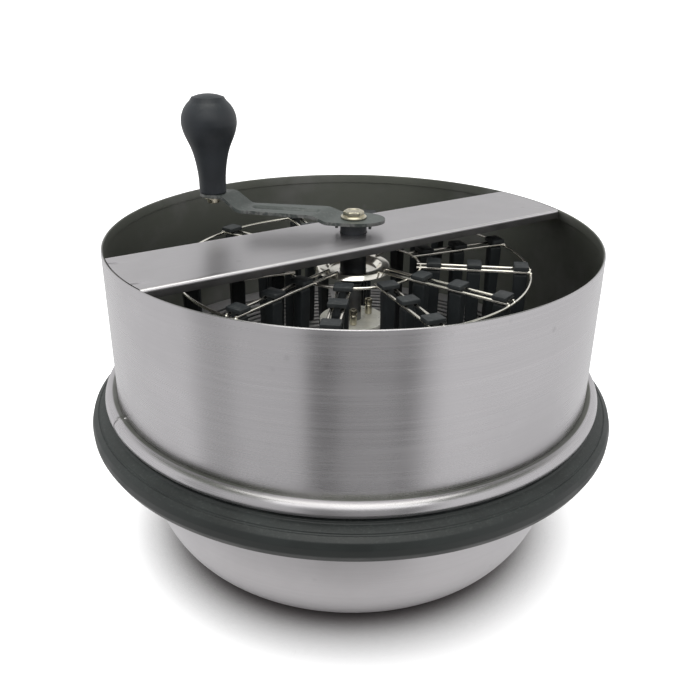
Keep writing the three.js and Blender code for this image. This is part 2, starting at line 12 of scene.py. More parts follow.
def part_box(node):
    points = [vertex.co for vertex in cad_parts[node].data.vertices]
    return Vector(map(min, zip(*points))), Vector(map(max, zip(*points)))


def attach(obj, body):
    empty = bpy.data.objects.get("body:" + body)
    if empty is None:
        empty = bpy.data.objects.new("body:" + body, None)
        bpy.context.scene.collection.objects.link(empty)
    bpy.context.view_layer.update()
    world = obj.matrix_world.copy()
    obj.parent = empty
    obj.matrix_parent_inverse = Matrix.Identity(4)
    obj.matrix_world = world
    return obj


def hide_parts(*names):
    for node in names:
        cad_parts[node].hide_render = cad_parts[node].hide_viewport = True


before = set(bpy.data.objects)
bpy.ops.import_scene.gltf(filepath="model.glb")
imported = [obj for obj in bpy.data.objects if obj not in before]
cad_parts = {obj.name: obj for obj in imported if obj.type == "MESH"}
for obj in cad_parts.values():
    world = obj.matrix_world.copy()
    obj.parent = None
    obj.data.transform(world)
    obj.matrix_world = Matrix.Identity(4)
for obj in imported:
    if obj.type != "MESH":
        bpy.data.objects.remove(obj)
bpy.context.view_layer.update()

bl_info = {
    "name": "Bowl trimmer",
    "version": (1, 0, 0),
    "blender": (4, 5, 0),
    "location": "View3D > Sidebar > Trimmer",
    "description": "Builds a hand-cranked bowl trimmer piece by piece round its frame",
    "category": "Add Mesh",
}

MM = 0.001
SEED = 11
STRAIGHT = math.radians(88)

# ---- Places and sizes that come from the frame -----------------------------------------------


def low_of(node):
    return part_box(node)[0]


def high_of(node):
    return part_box(node)[1]


def centre_of(node):
    low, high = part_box(node)
    return (low + high) / 2


RIM = high_of("drum_wall").z
FOOT = low_of("drum_wall").z
BEAD_OUTER = high_of("drum_wall").x
BAR_END = high_of("cross_bar").x
BAR_HALF = high_of("cross_bar").y
GRATE_TOP = high_of("grate").z
GRATE_OUTER = high_of("grate").x
SKIRT_BOTTOM = low_of("grate").z
SEAL_OUTER = high_of("rim_seal_ring").x
SEAL_BOTTOM = low_of("rim_seal_ring").z
SEAL_TOP = high_of("rim_seal_ring").z
BOWL_TOP = high_of("bowl").z
BOWL_RIM = high_of("bowl").x
SLEEVE_LOW = low_of("drive_sleeve").z
SLEEVE_HIGH = high_of("drive_sleeve").z
COVER_TOP = high_of("gearbox_cover").z
COVER_BOTTOM = low_of("gearbox_cover").z
HOUSING_LOW = low_of("gearbox_housing").z
HOUSING_HIGH = high_of("gearbox_housing").z
GRIP_AT = centre_of("grip")
GRIP_LOW = low_of("grip").z
GRIP_HIGH = high_of("grip").z
ARM_REACH = math.hypot(GRIP_AT.x, GRIP_AT.y)
ARM_TURN = math.atan2(GRIP_AT.y, GRIP_AT.x)
FRAME_OUTER = high_of("tumbler_frame").x
GEAR_LOW = low_of("planet_gear_1").z
GEAR_HIGH = high_of("planet_gear_1").z
BLADE_REACH = high_of("straight_blade").x


class TrimmerSizes(bpy.types.PropertyGroup):
    """Lengths that a user would change."""

    sheet: FloatProperty(
        name="Sheet", description="Thickness of the drum's steel sheet",
        default=0.9 * MM, unit="LENGTH")
    bead: FloatProperty(
        name="Foot bead", description="Radius of the rolled bead at the drum's foot",
        default=6.5 * MM, unit="LENGTH")
    hem: FloatProperty(
        name="Hem", description="Height of the folded hem inside the drum's top edge",
        default=8.5 * MM, unit="LENGTH")
    bowl_base: FloatProperty(
        name="Bowl base", description="Radius of the bowl's flat base",
        default=125 * MM, unit="LENGTH")
    bowl_wall: FloatProperty(
        name="Bowl wall", description="Thickness of the bowl's sheet",
        default=1 * MM, unit="LENGTH")
    bar_lip: FloatProperty(
        name="Bar lip", description="Depth of the cross bar's folded sides",
        default=7.5 * MM, unit="LENGTH")
    bar_sheet: FloatProperty(
        name="Bar sheet", description="Thickness of the cross bar's sheet",
        default=1.5 * MM, unit="LENGTH")
    slot_pitch: FloatProperty(
        name="Slot pitch", description="Distance between the grate's rows of slots",
        default=8.5 * MM, unit="LENGTH")
    slot_width: FloatProperty(
        name="Slot width", description="Width of each slot in the grate",
        default=4.2 * MM, unit="LENGTH")
    wire: FloatProperty(
        name="Wire", description="Radius of the tumbler frame's wire",
        default=1.2 * MM, unit="LENGTH")
    spoke_gap: FloatProperty(
        name="Spoke gap", description="Distance between the two wires of a spoke",
        default=9.2 * MM, unit="LENGTH")
    arm_sheet: FloatProperty(
        name="Arm thickness", description="Thickness of the pressed crank arm",
        default=2.8 * MM, unit="LENGTH")
    sleeve: FloatProperty(
        name="Sleeve", description="Radius of the drive sleeve",
        default=high_of("drive_sleeve").x, unit="LENGTH")


class TrimmerColours(bpy.types.PropertyGroup):
    """Colours that a user would change."""

    steel: FloatVectorProperty(
        name="Sheet steel", description="Colour of the brushed drum, bowl and cross bar",
        default=(0.56, 0.545, 0.56), size=3, subtype="COLOR", min=0, max=1)
    wire: FloatVectorProperty(
        name="Bright steel", description="Colour of the polished wire and hub dish",
        default=(0.93, 0.9, 0.82), size=3, subtype="COLOR", min=0, max=1)
    alloy: FloatVectorProperty(
        name="Gearbox", description="Colour of the gearbox casting and cover",
        default=(0.8, 0.79, 0.7), size=3, subtype="COLOR", min=0, max=1)
    zinc: FloatVectorProperty(
        name="Zinc plate", description="Colour of the bolts and screws",
        default=(0.62, 0.58, 0.46), size=3, subtype="COLOR", min=0, max=1)
    paint: FloatVectorProperty(
        name="Crank paint", description="Colour of the painted crank arm",
        default=(0.045, 0.053, 0.049), size=3, subtype="COLOR", min=0, max=1)
    rubber: FloatVectorProperty(
        name="Seal rubber", description="Colour of the rim seal",
        default=(0.014, 0.0175, 0.0165), size=3, subtype="COLOR", min=0, max=1)
    finger: FloatVectorProperty(
        name="Finger rubber", description="Colour of the tumbler's fingers",
        default=(0.0105, 0.013, 0.0142), size=3, subtype="COLOR", min=0, max=1)
    plastic: FloatVectorProperty(
        name="Grip plastic", description="Colour of the grip and the drive sleeve",
        default=(0.016, 0.0195, 0.024), size=3, subtype="COLOR", min=0, max=1)


# ---- Mesh building ---------------------------------------------------------------------------


def mesh_object(name, vertices, faces, sharp_degrees=35):
    """A smooth-shaded object whose steep edges stay sharp."""
    mesh = bpy.data.meshes.new(name)
    mesh.from_pydata([tuple(v) for v in vertices], [], faces)
    mesh.validate()
    piece = bpy.data.objects.new(name, mesh)
    bpy.context.scene.collection.objects.link(piece)
    face_out(mesh)
    shade(mesh, sharp_degrees)
    return piece


def face_out(mesh):
    """Turns the faces of a closed mesh so that they look outwards."""
    work = bmesh.new()
    work.from_mesh(mesh)
    bmesh.ops.recalc_face_normals(work, faces=work.faces)
    if work.calc_volume(signed=True) < 0:
        bmesh.ops.reverse_faces(work, faces=work.faces)
    work.to_mesh(mesh)
    work.free()


def shade(mesh, sharp_degrees=35):
    mesh.shade_smooth()
    mesh.set_sharp_from_angle(angle=math.radians(sharp_degrees))


def loft_data(rings, closed=False):
    """Vertices and faces of a skin over rings with equal counts, or over single points at its ends."""
    vertices = []
    starts = []
    for ring in rings:
        starts.append(len(vertices))
        vertices.extend(ring)
    faces = []
    pairs = list(zip(range(len(rings) - 1), range(1, len(rings))))
    if closed:
        pairs.append((len(rings) - 1, 0))
    for a, b in pairs:
        count = max(len(rings[a]), len(rings[b]))
        for i in range(count):
            j = (i + 1) % count
            if len(rings[a]) == 1:
                faces.append((starts[a], starts[b] + j, starts[b] + i))
            elif len(rings[b]) == 1:
                faces.append((starts[a] + i, starts[a] + j, starts[b]))
            else:
                faces.append((starts[a] + i, starts[a] + j, starts[b] + j, starts[b] + i))
    if not closed:
        for k in (0, len(rings) - 1):
            if len(rings[k]) > 1:
                faces.append(tuple(range(starts[k], starts[k] + len(rings[k]))))
    return vertices, faces


def loft(name, rings, closed=False, sharp_degrees=35):
    return mesh_object(name, *loft_data(rings, closed), sharp_degrees)


def circle(radius, height, sides, angles=None):
    """A ring of points about Z. A radius of nothing gives a single point."""
    if radius < 1e-7:
        return [Vector((0, 0, height))]
    angles = angles or [2 * math.pi * i / sides for i in range(sides)]
    return [Vector((radius * math.cos(a), radius * math.sin(a), height)) for a in angles]


def lathe(name, profile, sides=192, closed=False, sharp_degrees=35):
    """A profile of (radius, height) points turned about Z."""
    return loft(name, [circle(r, z, sides) for r, z in profile], closed, sharp_degrees)


def arc(centre_r, centre_z, radius, start, end, steps):
    """Points on an arc of the profile, from start to end in degrees."""
    points = []
    for i in range(steps + 1):
        angle = math.radians(start + (end - start) * i / steps)
        points.append((centre_r + radius * math.cos(angle), centre_z + radius * math.sin(angle)))
    return points


def rounded(corners, closed=False, steps=4):
    """Rounds the corners of a profile. Each corner is (radius, height) or (radius, height, fillet)."""
    points = []
    count = len(corners)
    for i, corner in enumerate(corners):
        here = Vector(corner[:2])
        fillet = corner[2] if len(corner) > 2 else 0
        if fillet <= 0 or (not closed and i in (0, count - 1)):
            points.append(tuple(here))
            continue
        before = (Vector(corners[i - 1][:2]) - here).normalized()
        after = (Vector(corners[(i + 1) % count][:2]) - here).normalized()
        half = math.acos(max(-1, min(1, before.dot(after)))) / 2
        if half > STRAIGHT:
            points.append(tuple(here))
            continue
        reach = fillet / math.tan(half)
        middle = here + (before + after).normalized() * (fillet / math.sin(half))
        start = here + before * reach - middle
        end = here + after * reach - middle
        sweep = start.angle_signed(end)
        for k in range(steps + 1):
            points.append(tuple(middle + Matrix.Rotation(-sweep * k / steps, 2) @ start))
    return points


def polar_loop(radius_at, height, sides):
    """A closed ring whose radius depends on the angle."""
    points = []
    for i in range(sides):
        angle = 2 * math.pi * i / sides
        radius = radius_at(angle)
        points.append(Vector((radius * math.cos(angle), radius * math.sin(angle), height)))
    return points


def polygon_radius(apothem, corners):
    """The radius of a regular polygon at each angle, with a flat side facing +X."""
    step = 2 * math.pi / corners

    def radius(angle):
        return apothem / math.cos((angle + step / 2) % step - step / 2)

    return radius


def hex_rings(across_half, bottom, top, chamfer, sides=96):
    """Rings of a hexagon bar with its top corners chamfered round."""
    hexagon = polygon_radius(across_half, 6)
    trimmed = across_half * 1.02

    def top_radius(angle):
        return min(hexagon(angle) - 0.3 * chamfer, trimmed)

    return [
        polar_loop(hexagon, bottom, sides),
        polar_loop(lambda a: min(hexagon(a), across_half * 1.12), top - chamfer, sides),
        polar_loop(top_radius, top - 0.25 * chamfer, sides),
        polar_loop(lambda a: top_radius(a) - 0.5 * chamfer, top, sides),
    ]


def gear_radius(teeth, root, tip, root_half, tip_half):
    """The radius of a gear's outline at each angle, with slightly rounded flanks."""
    step = 2 * math.pi / teeth

    def radius(angle):
        off = abs((angle + step / 2) % step - step / 2)
        share = (off * tip - tip_half) / max(1e-9, root_half - tip_half)
        share = max(0.0, min(1.0, share))
        return tip + (root - tip) * share ** 0.85

    return radius


def settle(piece, sharp_degrees=35):
    """Works the piece's modifiers into its mesh."""
    graph = bpy.context.evaluated_depsgraph_get()
    finished = bpy.data.meshes.new_from_object(piece.evaluated_get(graph))
    piece.modifiers.clear()
    piece.data = finished
    shade(finished, sharp_degrees)
    return piece


def bevel(piece, width, segments=2, limit=40):
    cut = piece.modifiers.new("bevel", "BEVEL")
    cut.width = width
    cut.segments = segments
    cut.limit_method = "ANGLE"
    cut.angle_limit = math.radians(limit)
    return settle(piece)


def carve(piece, cutter, operation="DIFFERENCE"):
    """Cuts the cutter out of the piece, or joins it on, and removes the cutter."""
    change = piece.modifiers.new("carve", "BOOLEAN")
    change.operation = operation
    change.solver = "EXACT"
    change.object = cutter
    settle(piece)
    bpy.data.objects.remove(cutter)
    return piece


def rod(name, radius, bottom, top, sides=64, at=(0, 0)):
    piece = lathe(name, [(0, bottom), (radius, bottom), (radius, top), (0, top)], sides)
    piece.data.transform(Matrix.Translation((at[0], at[1], 0)))
    return piece


def joined(name, pieces):
    """One object made of the meshes of several."""
    vertices = []
    faces = []
    for piece in pieces:
        start = len(vertices)
        vertices.extend(v.co.copy() for v in piece.data.vertices)
        faces.extend(tuple(start + i for i in face.vertices) for face in piece.data.polygons)
        bpy.data.objects.remove(piece)
    mesh = bpy.data.meshes.new(name)
    mesh.from_pydata(vertices, [], faces)
    shade(mesh)
    piece = bpy.data.objects.new(name, mesh)
    bpy.context.scene.collection.objects.link(piece)
    return piece


def place(piece, body, material, slot_name, *nodes):
    """Gives a new piece its material and the body that it rides on, and hides the CAD nodes it stands for.
    """
    piece.data.materials.clear()
    piece.data.materials.append(material)
    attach(piece, body)
    if nodes:
        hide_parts(*nodes)
    return piece


def capsule(start, end, radius, sides=12):
    """Vertices and faces of a wire with rounded ends."""
    run = end - start
    turn = run.to_track_quat("Z", "Y").to_matrix()
    length = run.length
    profile = [(0, 0), (0.6, 0.12), (0.92, 0.4), (1, 0.8)]
    rings = [circle(r * radius, z * radius, sides) for r, z in profile]
    rings += [circle(r * radius, length - z * radius, sides) for r, z in reversed(profile)]
    moved = [[start + turn @ point for point in ring] for ring in rings]
    return loft_data(moved)


def torus_data(ring_radius, wire_radius, height, sides=160, around=12):
    rings = []
    for k in range(around):
        angle = 2 * math.pi * k / around
        rings.append(circle(ring_radius + wire_radius * math.cos(angle),
                            height + wire_radius * math.sin(angle), sides))
    return loft_data(rings, closed=True)


def blob_data(centre, size, sides=10):
    """A small flattened drop of weld metal."""
    rings = [circle(size.x * math.sin(math.pi * k / 6), -size.z * math.cos(math.pi * k / 6), sides)
             for k in range(7)]
    moved = [[centre + point for point in ring] for ring in rings]
    return loft_data(moved)


def merged(name, parts, sharp_degrees=35):
    """One object from several lists of vertices and faces."""
    vertices = []
    faces = []
    for part_vertices, part_faces in parts:
        start = len(vertices)
        vertices.extend(part_vertices)
        faces.extend(tuple(start + i for i in face) for face in part_faces)
    return mesh_object(name, vertices, faces, sharp_degrees)


# ---- Material building -----------------------------------------------------------------------


class Graph:
    """Adds nodes to one tree. An input is a value, or a socket that is then linked."""

    def __init__(self, tree):
        self.tree = tree

    def node(self, kind, inputs=None, **settings):
        made = self.tree.nodes.new(kind)
        for key, value in settings.items():
            setattr(made, key, value)
        for key, value in (inputs or {}).items():
            if isinstance(value, bpy.types.NodeSocket):
                self.tree.links.new(value, made.inputs[key])
            else:
                made.inputs[key].default_value = value
        return made

    def math(self, operation, first, second=0.0):
        return self.node("ShaderNodeMath", {0: first, 1: second}, operation=operation).outputs[0]

    def mix(self, factor, first, second):
        return self.node("ShaderNodeMix", {0: factor, 6: first, 7: second}, data_type="RGBA").outputs[2]

    def blend(self, factor, first, second):
        return self.node("ShaderNodeMix", {0: factor, 2: first, 3: second}, data_type="FLOAT").outputs[0]

    def spread(self, value, low, high, new_low=0.0, new_high=1.0):
        inputs = {"Value": value, "From Min": low, "From Max": high,
                  "To Min": new_low, "To Max": new_high}
        return self.node("ShaderNodeMapRange", inputs, interpolation_type="SMOOTHSTEP").outputs[0]

    def spread_evenly(self, value, low, high):
        inputs = {"Value": value, "From Min": low, "From Max": high}
        return self.node("ShaderNodeMapRange", inputs).outputs[0]

    def noise(self, vector, scale, detail=2.0, roughness=0.5):
        inputs = {"Vector": vector, "Scale": scale, "Detail": detail, "Roughness": roughness}
        return self.node("ShaderNodeTexNoise", inputs).outputs["Fac"]

    def place_in_metres(self):
        return self.node("ShaderNodeTexCoord").outputs["Object"]


def effect(name, inputs, outputs):
    """A new node group with float inputs {name: default} and float outputs, its graph and its two ends."""
    tree = bpy.data.node_groups.new(name, "ShaderNodeTree")
    for label, default in inputs.items():
        socket = tree.interface.new_socket(name=label, in_out="INPUT", socket_type="NodeSocketFloat")
        socket.default_value = default
    for label in outputs:
        tree.interface.new_socket(name=label, in_out="OUTPUT", socket_type="NodeSocketFloat")
    graph = Graph(tree)
    return tree, graph, graph.node("NodeGroupInput"), graph.node("NodeGroupOutput")


def brushing_effect():
    """Fine parallel marks: round the Z axis where Round is 1, and along X where it is 0."""
    tree, graph, ends_in, ends_out = effect(
        "Brushing", {"Round": 1.0, "Density": 900.0, "Length": 9.0}, ("Height", "Tone"))
    spot = graph.node("ShaderNodeSeparateXYZ", {0: graph.place_in_metres()}).outputs
    angle = graph.math("ARCTAN2", spot["Y"], spot["X"])
    across = graph.node("ShaderNodeVectorMath", {0: graph.node(
        "ShaderNodeCombineXYZ", {0: spot["X"], 1: spot["Y"]}).outputs[0]}, operation="LENGTH")
    radius = across.outputs["Value"]
    around = graph.math("MULTIPLY", angle, 0.2)
    run = graph.blend(ends_in.outputs["Round"], spot["X"], around)
    side = graph.blend(ends_in.outputs["Round"], spot["Y"], radius)
    vector = graph.node("ShaderNodeCombineXYZ", {
        0: graph.math("MULTIPLY", run, ends_in.outputs["Length"]),
        1: graph.math("MULTIPLY", side, ends_in.outputs["Density"]),
        2: graph.math("MULTIPLY", spot["Z"], ends_in.outputs["Density"]),
    }).outputs[0]
    fine = graph.noise(vector, 1.0, 3.0, 0.65)
    coarse = graph.noise(vector, 0.22, 2.0, 0.5)
    graph.tree.links.new(graph.spread(fine, 0.3, 0.7), ends_out.inputs["Height"])
    both = graph.math("ADD", graph.math("MULTIPLY", fine, 0.6), graph.math("MULTIPLY", coarse, 0.4))
    graph.tree.links.new(graph.spread(both, 0.32, 0.68), ends_out.inputs["Tone"])
    return tree


def handling_effect():
    """Smudges from hands and small stains."""
    tree, graph, ends_in, ends_out = effect(
        "Handling", {"Size": 9.0, "Stain Size": 60.0}, ("Smudge", "Stain"))
    spot = graph.place_in_metres()
    wide = graph.noise(spot, ends_in.outputs["Size"], 4.0, 0.6)
    graph.tree.links.new(graph.spread(wide, 0.42, 0.72), ends_out.inputs["Smudge"])
    cells = graph.node("ShaderNodeTexVoronoi", {
        "Vector": spot, "Scale": ends_in.outputs["Stain Size"], "Randomness": 1.0})
    near = graph.spread(cells.outputs["Distance"], 0.05, 0.22, 1.0, 0.0)
    some = graph.spread(graph.noise(spot, 14.0, 2.0), 0.56, 0.66)
    graph.tree.links.new(graph.math("MULTIPLY", near, some), ends_out.inputs["Stain"])
    return tree


def wear_effect():
    """Bare or bright edges, from how sharply the surface turns."""
    tree, graph, ends_in, ends_out = effect(
        "Edge Wear", {"Start": 0.52, "End": 0.6, "Break Up": 260.0}, ("Mask",))
    turn = graph.node("ShaderNodeNewGeometry").outputs["Pointiness"]
    inputs = {"Value": turn, "From Min": ends_in.outputs["Start"], "From Max": ends_in.outputs["End"]}
    edge = graph.node("ShaderNodeMapRange", inputs).outputs[0]
    patchy = graph.noise(graph.place_in_metres(), ends_in.outputs["Break Up"], 3.0, 0.6)
    mask = graph.math("MULTIPLY", edge, graph.spread(patchy, 0.38, 0.62))
    graph.tree.links.new(mask, ends_out.inputs["Mask"])
    return tree


def moulding_effect():
    """The fine skin of moulded rubber or plastic, with faint flow marks."""
    tree, graph, ends_in, ends_out = effect(
        "Moulding", {"Grain": 1400.0, "Flow": 26.0}, ("Height", "Tone", "Dust"))
    spot = graph.place_in_metres()
    grain = graph.noise(spot, ends_in.outputs["Grain"], 2.0, 0.6)
    flow = graph.noise(spot, ends_in.outputs["Flow"], 3.0, 0.55)
    graph.tree.links.new(grain, ends_out.inputs["Height"])
    graph.tree.links.new(graph.spread(flow, 0.3, 0.7), ends_out.inputs["Tone"])
    up = graph.node("ShaderNodeSeparateXYZ", {0: graph.node("ShaderNodeNewGeometry").outputs["Normal"]})
    lying = graph.spread(up.outputs["Z"], 0.2, 0.95)
    specks = graph.spread(graph.noise(spot, 420.0, 4.0, 0.7), 0.5, 0.72)
    dust = graph.math("MULTIPLY", lying, graph.math("MULTIPLY", specks, flow))
    graph.tree.links.new(dust, ends_out.inputs["Dust"])
    return tree


EFFECTS = {}


def effect_node(graph, name, **values):
    """Places one of the shared effects in a material, with its own values."""
    makers = {"Brushing": brushing_effect, "Handling": handling_effect,
              "Edge Wear": wear_effect, "Moulding": moulding_effect}
    if name not in EFFECTS:
        EFFECTS[name] = makers[name]()
    made = graph.node("ShaderNodeGroup", node_tree=EFFECTS[name])
    for label, value in values.items():
        made.inputs[label.replace("_", " ")].default_value = value
    return made.outputs


def new_material(name):
    material = bpy.data.materials.new(name)
    material.use_nodes = True
    graph = Graph(material.node_tree)
    shader = material.node_tree.nodes["Principled BSDF"]
    return material, graph, shader


def tinted(colour, factor):
    """A colour made lighter or darker, with its alpha."""
    return tuple(min(1.0, c * factor) for c in colour[:3]) + (1.0,)


def join_to(graph, shader, **sockets):
    names = {"colour": "Base Color", "roughness": "Roughness", "normal": "Normal",
             "metallic": "Metallic", "tangent": "Tangent", "coat": "Coat Weight"}
    for key, socket in sockets.items():
        graph.tree.links.new(socket, shader.inputs[names[key]])


PAINTED_INSIDE_SHADE = (0.18, 0.188, 0.163, 1)      # painted shade: a dark colour on the drum's inner face in place of the shade inside the drum
PAINTED_BEND_HIGHLIGHT = 1.6                    # painted highlight: how much brighter the bar's bends are painted than its top
PAINTED_SIDE_SHADE = 0.34                   # painted shade: how much of that tone is left below the bends


def brushed_steel(name, colour, roughness=0.3, round_marks=1.0, density=900.0, depth=0.25,
                  anisotropy=0.55, stains=0.35, painted_inner_shade=False, folded=False):
    """Sheet steel with brush marks, smudges and small stains. Its inner face can be painted darker as
    painted shade, with evener roughness and fainter marks there, and a folded sheet gets a painted
    highlight on its bends and painted shade on its sides."""
    material, graph, shader = new_material(name)
    marks = effect_node(graph, "Brushing", Round=round_marks, Density=density)
    hands = effect_node(graph, "Handling")
    tone = graph.mix(marks["Tone"], tinted(colour, 0.96), tinted(colour, 1.03))
    rough = graph.math("ADD", graph.math("MULTIPLY", marks["Tone"], 0.07),
                       graph.math("MULTIPLY", hands["Smudge"], 0.08))
    strength = depth
    if painted_inner_shade:
        inside = inner_face(graph)
        # painted shade: the inner face gets a dark colour in place of the shade inside the drum
        tone = graph.mix(inside, tone, PAINTED_INSIDE_SHADE)
        nearly_flat = 0.01
        even_rough = 0.22
        strength = graph.blend(inside, depth, nearly_flat)
        rough = graph.blend(inside, rough, even_rough)
    if folded:
        # painted highlight on the bar's bends and painted shade on its sides
        tone = painted_bend_light(graph, tone, colour)
    smudged = graph.mix(graph.math("MULTIPLY", hands["Smudge"], 0.35), tone, tinted(colour, 0.84))
    stained = graph.mix(graph.math("MULTIPLY", hands["Stain"], stains), smudged, tinted(colour, 0.5))
    bump = graph.node("ShaderNodeBump", {
        "Strength": strength, "Distance": 0.00005, "Height": marks["Height"]})
    shader.inputs["Metallic"].default_value = 1.0
    shader.inputs["Anisotropic"].default_value = anisotropy
    join_to(graph, shader, colour=stained, roughness=graph.math("ADD", rough, roughness),
            normal=bump.outputs[0])
    if round_marks > 0.5:
        tangent = graph.node("ShaderNodeTangent", direction_type="RADIAL", axis="Z")
        join_to(graph, shader, tangent=tangent.outputs[0])
        shader.inputs["Anisotropic Rotation"].default_value = 0.25
    return material


def inner_face(graph):
    """A mask that is 1 where the surface looks toward the object's Z axis and 0 where it looks away."""
    coordinates = graph.node("ShaderNodeTexCoord").outputs
    outward = graph.node("ShaderNodeVectorMath", {0: coordinates["Object"], 1: (1, 1, 0)},
                         operation="MULTIPLY").outputs[0]
    facing = graph.node("ShaderNodeVectorMath", {0: outward, 1: coordinates["Normal"]},
                        operation="DOT_PRODUCT").outputs["Value"]
    return graph.spread(facing, 0.02, -0.02)


def painted_bend_light(graph, tone, colour):
    """Painted light across the bar: a painted highlight on the bends along its two sides and painted shade
    on the sides below them.
    """
    across = graph.node("ShaderNodeSeparateXYZ", {0: graph.place_in_metres()}).outputs["Y"]
    off = graph.math("ABSOLUTE", across)
    bend = graph.spread(off, BAR_HALF - 3.2 * MM, BAR_HALF - 1.4 * MM)
    side = graph.spread(off, BAR_HALF - 0.5 * MM, BAR_HALF - 0.1 * MM)
    # painted highlight along the bends, then painted shade on the sides below them
    rubbed = graph.mix(bend, tone, tinted(colour, PAINTED_BEND_HIGHLIGHT))
    return graph.mix(side, rubbed, tinted(colour, PAINTED_SIDE_SHADE))


def bright_steel(name, colour, roughness=0.14, density=500.0):
    """Polished wire and spun metal, with fine turning lines and a few dull patches."""
    material, graph, shader = new_material(name)
    marks = effect_node(graph, "Brushing", Density=density)
    hands = effect_node(graph, "Handling", Size=30.0, Stain_Size=160.0)
    tone = graph.mix(marks["Tone"], tinted(colour, 0.93), tinted(colour, 1.04))
    dulled = graph.mix(graph.math("MULTIPLY", hands["Smudge"], 0.3), tone, tinted(colour, 0.75))
    rough = graph.math("ADD", graph.math("MULTIPLY", hands["Smudge"], 0.12), roughness)
    bump = graph.node("ShaderNodeBump", {
        "Strength": 0.15, "Distance": 0.00004, "Height": marks["Height"]})
    shader.inputs["Metallic"].default_value = 1.0
    join_to(graph, shader, colour=dulled, roughness=rough, normal=bump.outputs[0])
    return material


def plated_metal(name, colour, roughness=0.33, grain=900.0, oily=0.0, metallic=1.0):
    """Zinc plate, castings and gear steel: mottled, with bright worn edges."""
    material, graph, shader = new_material(name)
    skin = effect_node(graph, "Moulding", Grain=grain, Flow=70.0)
    worn = effect_node(graph, "Edge Wear", Start=0.53, End=0.62)
    hands = effect_node(graph, "Handling", Size=60.0, Stain_Size=320.0)
    mottled = graph.mix(skin["Tone"], tinted(colour, 0.82), tinted(colour, 1.08))
    stained = graph.mix(graph.math("MULTIPLY", hands["Stain"], 0.4 + oily), mottled,
                        tinted(colour, 0.45))
    bright = graph.mix(graph.math("MULTIPLY", worn["Mask"], 0.6), stained, tinted(colour, 1.35))
    rough = graph.math("ADD", graph.math("MULTIPLY", skin["Tone"], 0.16), roughness - 0.08)
    bump = graph.node("ShaderNodeBump", {
        "Strength": 0.25, "Distance": 0.00005, "Height": skin["Height"]})
    shader.inputs["Metallic"].default_value = metallic
    join_to(graph, shader, colour=bright, roughness=rough, normal=bump.outputs[0])
    return material


def crank_paint(name, colour):
    """Satin paint over steel, rubbed through to metal on a few edges."""
    material, graph, shader = new_material(name)
    skin = effect_node(graph, "Moulding", Grain=1100.0, Flow=60.0)
    worn = effect_node(graph, "Edge Wear", Start=0.56, End=0.66, Break_Up=190.0)
    shade_of = graph.mix(skin["Tone"], tinted(colour, 0.85), tinted(colour, 1.2))
    dusty = graph.mix(graph.math("MULTIPLY", skin["Dust"], 0.5), shade_of, (0.2, 0.2, 0.19, 1))
    rubbed = graph.mix(graph.math("MULTIPLY", worn["Mask"], 0.55), dusty, (0.32, 0.32, 0.31, 1))
    rough = graph.math("ADD", graph.math("MULTIPLY", skin["Tone"], 0.12), 0.36)
    bump = graph.node("ShaderNodeBump", {
        "Strength": 0.35, "Distance": 0.00012, "Height": skin["Height"]})
    join_to(graph, shader, colour=rubbed, roughness=rough, normal=bump.outputs[0],
            metallic=graph.math("MULTIPLY", worn["Mask"], 0.7))
    return material


def moulded(name, colour, roughness, grain=1400.0, bump_depth=0.0001, dust=0.6, wear=0.3):
    """Moulded rubber or plastic with a fine skin, faint flow marks, dust and rubbed edges."""
    material, graph, shader = new_material(name)
    skin = effect_node(graph, "Moulding", Grain=grain)
    worn = effect_node(graph, "Edge Wear", Start=0.54, End=0.64)
    toned = graph.mix(skin["Tone"], tinted(colour, 0.8), tinted(colour, 1.3))
    dusty = graph.mix(graph.math("MULTIPLY", skin["Dust"], dust), toned, (0.13, 0.135, 0.13, 1))
    rubbed = graph.mix(graph.math("MULTIPLY", worn["Mask"], wear), dusty, (0.09, 0.095, 0.095, 1))
    rough = graph.math("ADD", graph.math("MULTIPLY", skin["Tone"], 0.14), roughness - 0.07)
    bump = graph.node("ShaderNodeBump", {
        "Strength": 0.5, "Distance": bump_depth, "Height": skin["Height"]})
    join_to(graph, shader, colour=rubbed, roughness=rough, normal=bump.outputs[0])
    return material


MATERIALS = {}


def material(name):
    """The finish with this name, built the first time that it is asked for."""
    if name in MATERIALS:
        return MATERIALS[name]
    tint = bpy.context.scene.trimmer_colours
    makers = {
        # painted shade on the drum's inner face
        "drum_sheet": lambda n: brushed_steel(n, tint.steel, 0.22, 1.0, 1500.0, 0.07, 0.8, painted_inner_shade=True),
        "bowl_sheet": lambda n: brushed_steel(n, tint.steel, 0.3, 1.0, 1300.0, 0.25, 0.5),
        # painted highlight on the bar's bends and painted shade on its sides
        "bar_sheet": lambda n: brushed_steel(n, tint.steel, 0.3, 0.0, 1500.0, 0.15, 0.0, folded=True),
        "grate_sheet": lambda n: brushed_steel(n, tinted(tint.steel, 0.8), 0.36, 1.0, 1100.0),
        "blade": lambda n: brushed_steel(n, tinted(tint.steel, 1.1), 0.24, 0.0, 1700.0, 0.3, 0.0),
        "wire": lambda n: bright_steel(n, tint.wire),
        "casting": lambda n: plated_metal(n, tint.alloy, 0.34, 1100.0, metallic=0.35),
        "zinc": lambda n: plated_metal(n, tint.zinc, 0.3),
        "gear": lambda n: plated_metal(n, (0.3, 0.3, 0.31), 0.32, 700.0, 0.3),
        "crank_paint": lambda n: crank_paint(n, tint.paint),
        "seal_rubber": lambda n: moulded(n, tint.rubber, 0.48, 1500.0, 0.00008, 0.35, 0.25),
        "finger_rubber": lambda n: moulded(n, tint.finger, 0.5, 1300.0, 0.0001, 0.45, 0.3),
        "grip_plastic": lambda n: moulded(n, tint.plastic, 0.5, 1900.0, 0.00012, 0.25, 0.2),
    }
    MATERIALS[name] = makers[name](name)
    return MATERIALS[name]


